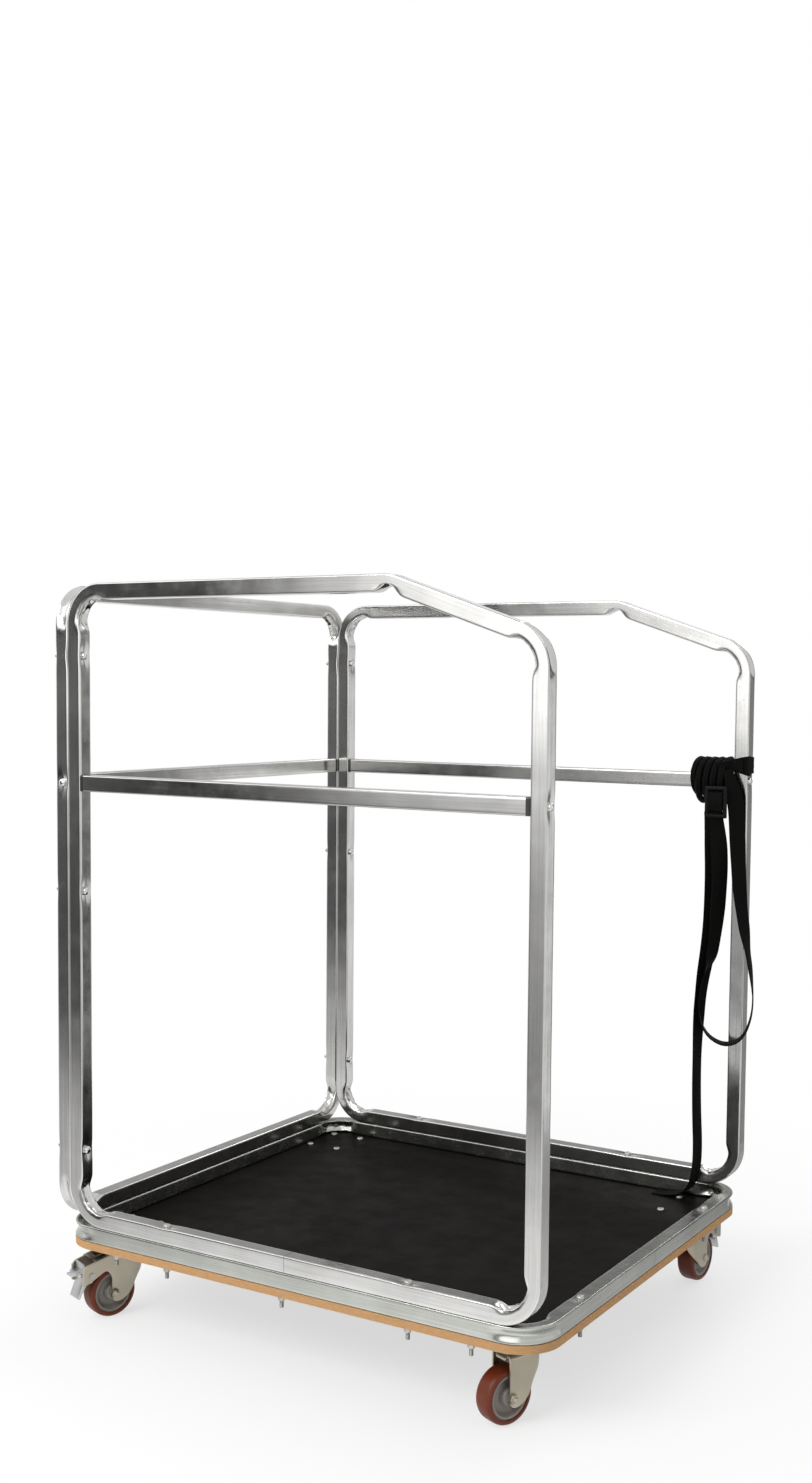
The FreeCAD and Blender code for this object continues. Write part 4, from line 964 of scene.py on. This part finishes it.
class TROLLEY_OT_castors(bpy.types.Operator):
    """Press the forks, turn the wheels and make the brake pedals"""
    bl_idname = "trolley.castors"
    bl_label = "Castors"

    def execute(self, context):
        forks = {braked: pressed_fork(braked) for braked in (False, True)}
        tread, hub, pedal = wheel_part("tread", TREAD_LINE), wheel_part("hub", HUB_LINE), brake_pedal()
        outside = LEG + SHEET / 2
        bolt = domed_bolt("axle_bolt", 48.15 * MM, shank=4 * MM, head=7 * MM, height=4 * MM,
                          skirt=0.05 * MM, thread=8 * MM)
        bolt.data.transform(facing((TRAIL, -outside, AXLE), (0, -1, 0)))
        nut = lock_nut("axle_nut", **NUT_M8)
        nut.data.transform(facing((TRAIL, outside, AXLE), (0, 1, 0)))
        for name in CASTORS:
            place = castor_place(name)
            parts = [(forks[name in BRAKED], "fork_sheet", "swivel", "castor", "castor_steel", "fork"),
                     (bolt, "axle_bolt_turned", "swivel", "castor", "fasteners", "axle_bolt"),
                     (nut, "axle_lock_nut", "swivel", "castor", "fasteners", "axle_nut"),
                     (tread, "cast_tread", "wheel", "tread", "tread", "tread"),
                     (hub, "moulded_hub", "wheel", "hub", "hub_plastic", "hub")]
            if name in BRAKED:
                parts.append((pedal, "foot_pedal", "brake", "pedal", "castor_steel", "brake_pedal"))
            for pattern, label, body, finish, slot, node in parts:
                fitted(copied(pattern, place), f"{name}_{label}", f"{name}_{body}", finish_named(finish),
                       slot, f"{name}_{node}")
        discard(*forks.values(), tread, hub, pedal, bolt, nut)
        return {"FINISHED"}


# Strap

STRAP_AT = Vector((RING_HIGH.x, POST_BACK - TUBE / 2 - 17.1 * MM, CROSSBAR))
LOOP_ROUTE = [(-30, 20, 0), (-14, -22, 0), (-9, -100, 0), (-3, -190, 0), (9, -262, 0), (22, -330, 0),
              (25, -385, 0), (8, -432, 0), (-25, -447, 0), (-61, -430, 0), (-74, -388, 0), (-66, -338, 0),
              (-49, -300, 1), (-41, -235, 3), (-37, -165, 4), (-39, -112, 5), (-42, -78, 9), (-42, -60, 16),
              (-42, -51, 18)]
TAIL_ROUTE = [(-50, -51, 18), (-51, -64, 13), (-52, -98, 3), (-52, -170, -4), (-56, -270, -5),
              (-70, -350, -4), (-73, -440, 0), (-73, -546, 0), (-67, -647, 0), (-76, -698, 0),
              (-105, -717.5, 0), (-146, -718, 0)]
BUCKLE_ROUTE = [(9.8, 12), (9.8, 30), (8.6, 42), (4, 44), (-0.2, 41), (-1, 33), (-1, 20), (-0.2, 13),
                (4, 10.2), (8, 10)]
CHOKE_ROUTE = [(-7, -0.5, 28), (-16, -0.8, 28), (-26, -3, 27), (-36, -12, 25), (-46, -14, 24), (-53, -3, 22)]


def route_line(name, points):
    """Points read from a smooth spline along a route."""
    curve = bpy.data.curves.new(name, "CURVE")
    curve.dimensions = "3D"
    curve.resolution_u = 12
    spline = curve.splines.new("NURBS")
    spline.points.add(len(points) - 1)
    for point, place in zip(spline.points, points):
        point.co = (*place, 1)
    spline.order_u = 3
    spline.use_endpoint_u = True
    holder = bpy.data.objects.new(name, curve)
    bpy.context.scene.collection.objects.link(holder)
    mesh = bpy.data.meshes.new_from_object(holder)
    line = [vert.co.copy() for vert in mesh.vertices]
    bpy.data.objects.remove(holder)
    bpy.data.curves.remove(curve)
    bpy.data.meshes.remove(mesh)
    return line


def line_lengths(line):
    lengths = [0]
    for before, after in zip(line, line[1:]):
        lengths.append(lengths[-1] + (after - before).length)
    return lengths


def directions(line):
    ends = [line[0], *line, line[-1]]
    return [(after - before).normalized() for before, after in zip(ends, ends[2:])]


def note_weave(piece, columns, width, lengths):
    """Keep where the webbing's surface lies across and along it, in metres, for the weave."""
    uv = piece.data.uv_layers.active.data
    for loop in piece.data.loops:
        row, column = divmod(loop.vertex_index, columns + 1)
        uv[loop.index].uv = (column / columns * width, lengths[row])


def ribbon(line, widths, facings, thickness):
    """Flat webbing along a line; each stop gives the width and the way its width points."""
    columns, lengths, grid = 8, line_lengths(line), []
    for place, way, length in zip(line, directions(line), lengths):
        share = length / lengths[-1]
        aside = blended(facings, share)
        aside = (aside - way * aside.dot(way)).normalized()
        lift = way.cross(aside)
        width = blended(widths, share)
        spots = []
        for column in range(columns + 1):
            across = column / columns - 0.5
            curl = (0.25 - across * across) * 0.16 * width * math.sin(share * 19 + 1)
            spots.append(place + aside * across * width + lift * curl)
        grid.append(spots)
    piece = sheet_of(grid)
    note_weave(piece, columns, WEBBING, lengths)
    modified(piece, "SOLIDIFY", thickness=thickness, offset=0)
    return smoothed(piece, 50)


def winding_turns():
    """Control points of the wound strap: out along the rear crossbar and back in a second layer."""
    roll, pitch, turns, points_each = 6.03 * MM, 12.8 * MM, 4, 16
    inner = TUBE / 2 * math.sqrt(2) - TUBE_CORNER * (math.sqrt(2) - 1) + roll
    first = Vector((POST_RIGHT - TUBE / 2 - 12 * MM, POST_BACK, CROSSBAR))
    fuller = 1 / math.cos(math.pi / points_each)
    out, places = 2 * math.pi * turns, []
    for number in range(int((2 * turns + 0.5) * points_each) + 1):
        angle = number * 2 * math.pi / points_each
        climb = min(max(0, angle - out), math.pi)
        moved = min(angle, out) + climb - climb ** 2 / math.pi - max(0, angle - out - math.pi)
        radius = (inner + (1 - math.cos(climb)) / 2 * pitch) * fuller
        places.append(first + Vector((-pitch * moved / (2 * math.pi), -radius * math.sin(angle),
                                      -radius * math.cos(angle))))
    start = Vector((0, 12 * MM, 0))
    return [places[0] + start, *places, places[-1] + start]


def rolled(line, radius):
    """Webbing folded lengthwise into a thick roll, creased and uneven, along a line."""
    columns, lengths, grid = 30, line_lengths(line), []
    for place, way, length in zip(line, directions(line), lengths):
        level = (Vector(RIGHT) - way).normalized()
        rise = way.cross(level)
        spots = []
        for column in range(columns + 1):
            angle = 2 * math.pi * (column % columns) / columns
            pleat = abs(math.sin(2.5 * angle + 0.5 * math.sin(length * 23))) ** 0.6
            spot = place + level * math.cos(angle) * 4 * MM + rise * math.sin(angle) * 4 * MM
            size = radius * (0.74 + 0.3 * pleat + 0.07 * noise.noise(spot * 95))
            spots.append(place + level * math.cos(angle) * size * 1.2 + rise * math.sin(angle) * size)
        grid.append(spots)
    piece = sheet_of(grid)
    note_weave(piece, columns, WEBBING, lengths)
    return smoothed(closed_up(piece, fill=True), 60)


def post_band(width, thickness):
    """A turn of webbing that chokes the rear right post, pinched where it runs to the wound strap."""
    rows, columns = 64, 10
    half = TUBE / 2 + thickness / 2 + 0.4 * MM
    corner = 3.6 * MM
    middle = Vector((POST_RIGHT, POST_BACK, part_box("strap_band")[0].z + 14 * MM))
    grid = []
    for row in range(rows + 1):
        turn = 2 * math.pi * (row % rows) / rows
        out = Vector((math.cos(turn), math.sin(turn), 0))
        square = out * (half / max(abs(out.x), abs(out.y)))
        square -= Vector((math.copysign(max(0, abs(square.x) - half + corner), square.x),
                          math.copysign(max(0, abs(square.y) - half + corner), square.y), 0)) * 0.28
        pinch = math.exp(-((math.degrees(turn) - 222) / 38) ** 2)
        spread = math.exp(-((math.degrees(turn) - 330) / 40) ** 2)
        tall = width * (0.98 - 0.24 * pinch + 0.22 * spread)
        spots = []
        for column in range(columns + 1):
            across = column / columns - 0.5
            ripple = 0.5 * MM * (1 + math.sin(across * 15 + turn * 3)) * (0.3 + pinch)
            spots.append(middle + square + out * ripple + Vector((0, 0, across * tall - 1.2 * MM * spread)))
        grid.append(spots)
    piece = sheet_of(grid)
    note_weave(piece, columns, width, [row / rows * 8 * half for row in range(rows + 1)])
    modified(closed_up(piece), "SOLIDIFY", thickness=thickness, offset=0)
    return smoothed(piece, 50)


def slide_buckle():
    """A ladder buckle: a rim and cross bars with three slots, softly rounded."""
    low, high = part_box("strap_buckle")
    bar, thick = 6 * MM, (high.y - low.y) * 0.7
    slot = (high.z - low.z - 4 * bar) / 3
    across = [low.x, low.x + bar, high.x - bar, high.x]
    levels = [low.z]
    for _ in range(3):
        levels += [levels[-1] + bar, levels[-1] + bar + slot]
    levels.append(high.z)
    piece = sheet_of([[(x, (low.y + high.y) / 2, level) for x in across] for level in levels])
    slots = [(levels[2 * n + 1] + levels[2 * n + 2]) / 2 for n in range(3)]

    def open_slot(face):
        middle = face.calc_center_median()
        return across[1] < middle.x < across[2] and any(abs(middle.z - level) < 0.1 * MM for level in slots)

    cut_out(piece, open_slot)
    modified(piece, "SOLIDIFY", thickness=thick, offset=0)
    eased(piece, 1.7 * MM, 3)
    return smoothed(piece, 40)


class TROLLEY_OT_strap(bpy.types.Operator):
    """Hang the strap's loop and tail, wind up its spare length and hang its buckle"""
    bl_idname = "trolley.strap"
    bl_label = "Strap"

    def execute(self, context):
        sizes = context.scene.trolley_sizes
        finish = finish_named("webbing")
        level = Vector((0.857, 0.515, 0))
        width, thickness = sizes.strap_width, sizes.strap_thickness

        def twisted(*stops):
            """How the webbing's width lies along it, from its turn at each share of the length."""
            return [(share, Matrix.Rotation(math.radians(turn), 3, "Z") @ level) for share, turn in stops]

        def route(points):
            return [STRAP_AT + Vector((across, -ahead, up)) * MM for across, up, ahead in points]

        def webbed(piece, name, *nodes):
            return fitted(piece, name, "trolley", finish, "webbing", *nodes)

        band = webbed(post_band(width, thickness), "strap_band_webbing", "strap_band")
        buckle = fitted(slide_buckle(), "strap_slide_buckle", "trolley", finish_named("buckle"),
                        "buckle_plastic", "strap_buckle")
        low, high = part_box("strap_buckle")
        corner = Vector(((low.x + high.x) / 2, low.y, low.z))
        line = route_line("buckle_route", [corner + Vector((0, y, z)) * MM for y, z in BUCKLE_ROUTE])
        fold = webbed(ribbon(line, [(0, 25.4 * MM), (1, 25.4 * MM)], twisted((0, -31), (1, -31)), thickness),
                      "strap_buckle_fold")
        corner = Vector((POST_RIGHT + TUBE / 2, POST_BACK - TUBE / 2 - 3.6 * MM, CROSSBAR))
        line = route_line("choke_route", [corner + Vector(place) * MM for place in CHOKE_ROUTE])
        lead = webbed(ribbon(line, [(0, 24 * MM), (0.4, 18 * MM), (1, 15 * MM)],
                             [(0, Vector(UP)), (1, Vector((0, -0.3, 1)))], thickness), "strap_choke_webbing")
        line = route_line("loop_route", route(LOOP_ROUTE))
        turns = twisted((0, 4), (0.12, 12), (0.2, 24), (0.28, 40), (0.35, 66), (0.43, 80), (0.68, 80),
                        (0.74, 40), (0.84, 22), (1, -20))
        widths = [(0, 0.55 * width), (0.05, width), (0.93, width), (1, 0.85 * width)]
        loop = webbed(ribbon(line, widths, turns, thickness), "strap_loop_webbing", "strap_loop")
        line = route_line("tail_route", route(TAIL_ROUTE))
        turns = twisted((0, -20), (0.1, 8), (0.3, 14), (0.46, 40), (0.6, 52), (0.85, 50), (1, 59))
        widths = [(0, 0.8 * width), (0.1, width), (1, width)]
        tail = webbed(ribbon(line, widths, turns, thickness), "strap_tail_webbing", "strap_tail")
        line = route_line("winding_route", winding_turns())
        winding = webbed(rolled(line, 6.3 * MM), "strap_winding_roll", "strap_winding")
        return {"FINISHED"}


# Stage

CAMERA_AT = (1.371196, -2.23012, 1.007387)
CAMERA_TURN = (-0.54178, -0.06829, 0.00939)
CAMERA_LENS, CAMERA_SHIFT = 39.308, (-0.01863, 0.03737)


def area_lamp(name, place, aim, size, power):
    lamp = bpy.data.lights.new(name, "AREA")
    lamp.energy = power
    lamp.size = size
    holder = bpy.data.objects.new(name, lamp)
    bpy.context.scene.collection.objects.link(holder)
    holder.location = place
    holder.rotation_euler = (Vector(aim) - Vector(place)).to_track_quat("-Z", "Y").to_euler()


def card(name, low, high, glow, strength=1):
    """A studio card that only reflections see; glow(tree, place) gives its brightness from its place."""
    clear_selection()
    bpy.ops.mesh.primitive_plane_add(size=1)
    panel = bpy.context.object
    panel.name = name
    corners = [(x, y, z) for y, z in (low[1:], high[1:]) for x in (low[0], high[0])]
    for vert, corner in zip(panel.data.vertices, corners):
        vert.co = corner
    material = bpy.data.materials.new(name)
    material.use_nodes = True
    tree = material.node_tree
    place = add_node(tree, "ShaderNodeSeparateXYZ", {"Vector": placed_at(tree)}).outputs
    light = add_node(tree, "ShaderNodeEmission", {"Color": glow(tree, place), "Strength": strength})
    tree.links.new(light.outputs["Emission"], tree.nodes["Material Output"].inputs["Surface"])
    panel.data.materials.append(material)
    for ray in ("camera", "diffuse", "shadow", "transmission"):
        setattr(panel, "visible_" + ray, False)


def graded(tree, value, *stops):
    """Greys along a length, each stop given in metres."""
    low, high = stops[0][0], stops[-1][0]
    share = add_node(tree, "ShaderNodeMapRange", {"Value": value, "From Min": low, "From Max": high})
    return ramp(tree, share.outputs["Result"], *[((at - low) / (high - low), grey) for at, grey in stops])


def front_glow(tree, place):
    """Dark on the left and brighter to the right, brightest high up."""
    x, z = place["X"], place["Z"]
    left = graded(tree, z, (0, 0.055), (0.3, 0.055), (0.57, 0.07), (1.0, 0.105), (1.17, 0.1), (1.28, 0.04),
                  (2, 0.045))
    middle = graded(tree, z, (0, 0.035), (0.5, 0.015), (0.9, 0.015), (1.3, 0.03), (2, 0.045))
    right = graded(tree, z, (0, 0.12), (0.06, 0.19), (0.31, 0.22), (0.47, 0.25), (0.63, 0.31), (0.79, 0.47),
                   (0.92, 0.9), (1.05, 1.0), (2, 1.0))
    near = graded(tree, x, (-2.05, 0.0), (-1.72, 1.0))
    far = graded(tree, x, (-1.42, 0.0), (-1.34, 0.06), (-1.25, 0.22), (-1.14, 0.36), (-1.0, 0.5),
                 (-0.92, 0.62), (-0.8, 0.82), (-0.6, 1.0))
    return mixed(tree, far, mixed(tree, near, left, middle), right)


def front_floor_glow(tree, place):
    """Floor in front, dimmer to the left and away from the trolley."""
    across = graded(tree, place["X"], (-1.2, 0.52), (-0.75, 0.6), (-0.5, 0.78), (-0.28, 0.88), (0.15, 1.0))
    away = graded(tree, place["Y"], (-2.05, 0.16), (-1.75, 0.4), (-1.5, 0.64), (-1.2, 0.8), (-0.78, 0.8),
                  (-0.64, 1.0), (-0.45, 1.0))
    return multiplied(tree, across, away)


def right_floor_glow(tree, place):
    """Floor on the right, dimmer towards the back."""
    return graded(tree, place["Y"], (-0.2, 0.72), (0.17, 0.66), (0.45, 0.56), (0.75, 0.43), (1.2, 0.4))


def right_glow(tree, place):
    """Grey behind on the right, darker low down and further right."""
    dim = graded(tree, place["Z"], (0, 0.03), (0.3, 0.06), (0.7, 0.14), (1.1, 0.2), (1.35, 0.22))
    even = graded(tree, place["Z"], (0, 0.36), (0.9, 0.3), (1.35, 0.36))
    return mixed(tree, graded(tree, place["X"], (0.74, 0.0), (0.86, 1.0)), even, dim)


def back_glow(tree, place):
    """Pale grey high up behind, falling off upwards and to the right."""
    high = graded(tree, place["X"], (-9, 0.5), (-6, 0.4), (-4, 0.26), (-2.5, 0.2))
    low = graded(tree, place["X"], (-9, 0.8), (9, 0.8))
    return mixed(tree, graded(tree, place["Z"], (1.3, 0.0), (1.8, 0.08), (2.9, 1.0)), low, high)


def shoulder_glow(tree, place):
    """Even white over the trolley, which the frames' shoulders reflect."""
    return graded(tree, place["Z"], (1.2, 1.0), (2, 1.0))


def seen_directly(tree):
    """1 for what the camera sees, straight or in metal or glass."""
    path = add_node(tree, "ShaderNodeLightPath").outputs
    seen = maths(tree, "MAXIMUM", path["Is Camera Ray"], path["Is Glossy Ray"])
    return maths(tree, "MAXIMUM", seen, path["Is Transmission Ray"])


def floor_finish():
    """A pale floor that keeps the shadow under the trolley and turns white away from it."""
    material, tree, shader = new_finish("pale_floor", (0.9, 0.9, 0.9), 0.9, specular=0)
    distance = vector_maths(tree, "LENGTH", placed_at(tree))
    fade = {"Value": distance, "From Min": 0.45, "From Max": 1.7, "To Min": 0.66}
    far = add_node(tree, "ShaderNodeMapRange", fade, interpolation_type="SMOOTHSTEP")
    white = maths(tree, "MULTIPLY", seen_directly(tree), far.outputs["Result"])
    glow = add_node(tree, "ShaderNodeEmission", {"Color": (1, 1, 1, 1), "Strength": 1.0})
    both = add_node(tree, "ShaderNodeMixShader", {"Fac": white, 1: shader.outputs["BSDF"],
                                                  2: glow.outputs["Emission"]})
    tree.links.new(both.outputs["Shader"], tree.nodes["Material Output"].inputs["Surface"])
    return material


def set_world(scene):
    """A white surround, dimmer as a light than as seen."""
    world = bpy.data.worlds.new("studio")
    scene.world = world
    world.use_nodes = True
    tree = world.node_tree
    background = tree.nodes["Background"]
    strength = add_node(tree, "ShaderNodeMapRange", {"Value": seen_directly(tree), "To Min": 0.55})
    tree.links.new(strength.outputs["Result"], background.inputs["Strength"])
    background.inputs["Color"].default_value = (1, 1, 1, 1)


def set_camera(scene):
    """The camera fitted to the photograph."""
    camera = bpy.data.cameras.new("photo_view")
    camera.lens = CAMERA_LENS
    camera.shift_x, camera.shift_y = CAMERA_SHIFT
    camera.clip_end = 100
    holder = bpy.data.objects.new("photo_view", camera)
    scene.collection.objects.link(holder)
    yaw, pitch, roll = CAMERA_TURN
    ahead = Vector((math.sin(yaw) * math.cos(pitch), math.cos(yaw) * math.cos(pitch), math.sin(pitch)))
    level = Vector((math.cos(yaw), -math.sin(yaw), 0))
    right = level * math.cos(roll) + level.cross(ahead) * math.sin(roll)
    turn = Matrix((right, right.cross(ahead), -ahead)).transposed().to_4x4()
    holder.matrix_world = Matrix.Translation(CAMERA_AT) @ turn
    scene.camera = holder


class TROLLEY_OT_stage(bpy.types.Operator):
    """Lay the floor, set the lamps, the reflection cards and the camera"""
    bl_idname = "trolley.stage"
    bl_label = "Stage"

    def execute(self, context):
        scene = context.scene
        scene.view_settings.view_transform = "Standard"
        clear_selection()
        bpy.ops.mesh.primitive_plane_add(size=60, location=(0, 0, 0))
        floor = bpy.context.object
        floor.name = "pale_floor"
        floor.data.materials.append(floor_finish())
        set_world(scene)
        area_lamp("key", (-1.2, -4.2, 3.8), (0, 0, 0.4), 2.4, 170)
        area_lamp("fill", (-3.0, -2.0, 2.6), (0, 0, 0.5), 3.0, 30)
        area_lamp("back", (0.6, 3.6, 3.4), (0, 0, 0.6), 2.4, 60)
        card("front_card", (-3.4, -2.08, 0), (1.2, -2.08, 2), front_glow, 2.1)
        card("front_floor_card", (-3, -2.08, MM), (0.9, -0.42, MM), front_floor_glow, 1.5)
        card("right_floor_card", (0.46, -0.4, MM), (2, 0.98, MM), right_floor_glow)
        card("right_card", (0.47, 1, 0), (1.03, 1, 1.35), right_glow)
        card("back_card", (-14, 8, 1.1), (9, 8, 9), back_glow)
        card("shoulder_card", (-0.8, 0.95, 1.2), (0.4, 0.95, 2), shoulder_glow)
        set_camera(scene)
        return {"FINISHED"}


class TROLLEY_PT_panel(bpy.types.Panel):
    bl_idname = "TROLLEY_PT_panel"
    bl_label = "Table trolley"
    bl_space_type = "VIEW_3D"
    bl_region_type = "UI"
    bl_category = "Trolley"

    def draw(self, context):
        for group in (context.scene.trolley_sizes, context.scene.trolley_colours):
            box = self.layout.box()
            for name in group.__annotations__:
                box.prop(group, name)
        for operator in OPERATORS:
            self.layout.operator(operator.bl_idname)


OPERATORS = (TROLLEY_OT_stage, TROLLEY_OT_strap, TROLLEY_OT_frames, TROLLEY_OT_crossbars,
             TROLLEY_OT_fasteners, TROLLEY_OT_castors, TROLLEY_OT_plain_parts)
CLASSES = (TrolleySizes, TrolleyColours, *OPERATORS, TROLLEY_PT_panel)


def register():
    for item in CLASSES:
        bpy.utils.register_class(item)
    bpy.types.Scene.trolley_sizes = bpy.props.PointerProperty(type=TrolleySizes)
    bpy.types.Scene.trolley_colours = bpy.props.PointerProperty(type=TrolleyColours)


def unregister():
    del bpy.types.Scene.trolley_sizes
    del bpy.types.Scene.trolley_colours
    for item in reversed(CLASSES):
        bpy.utils.unregister_class(item)


def main():
    register()
    bpy.ops.trolley.stage()
    bpy.ops.trolley.strap()
    bpy.ops.trolley.frames()
    bpy.ops.trolley.crossbars()
    bpy.ops.trolley.fasteners()
    bpy.ops.trolley.castors()
    bpy.ops.trolley.plain_parts()
    clear_selection()


if __name__ == "__main__":
    main()
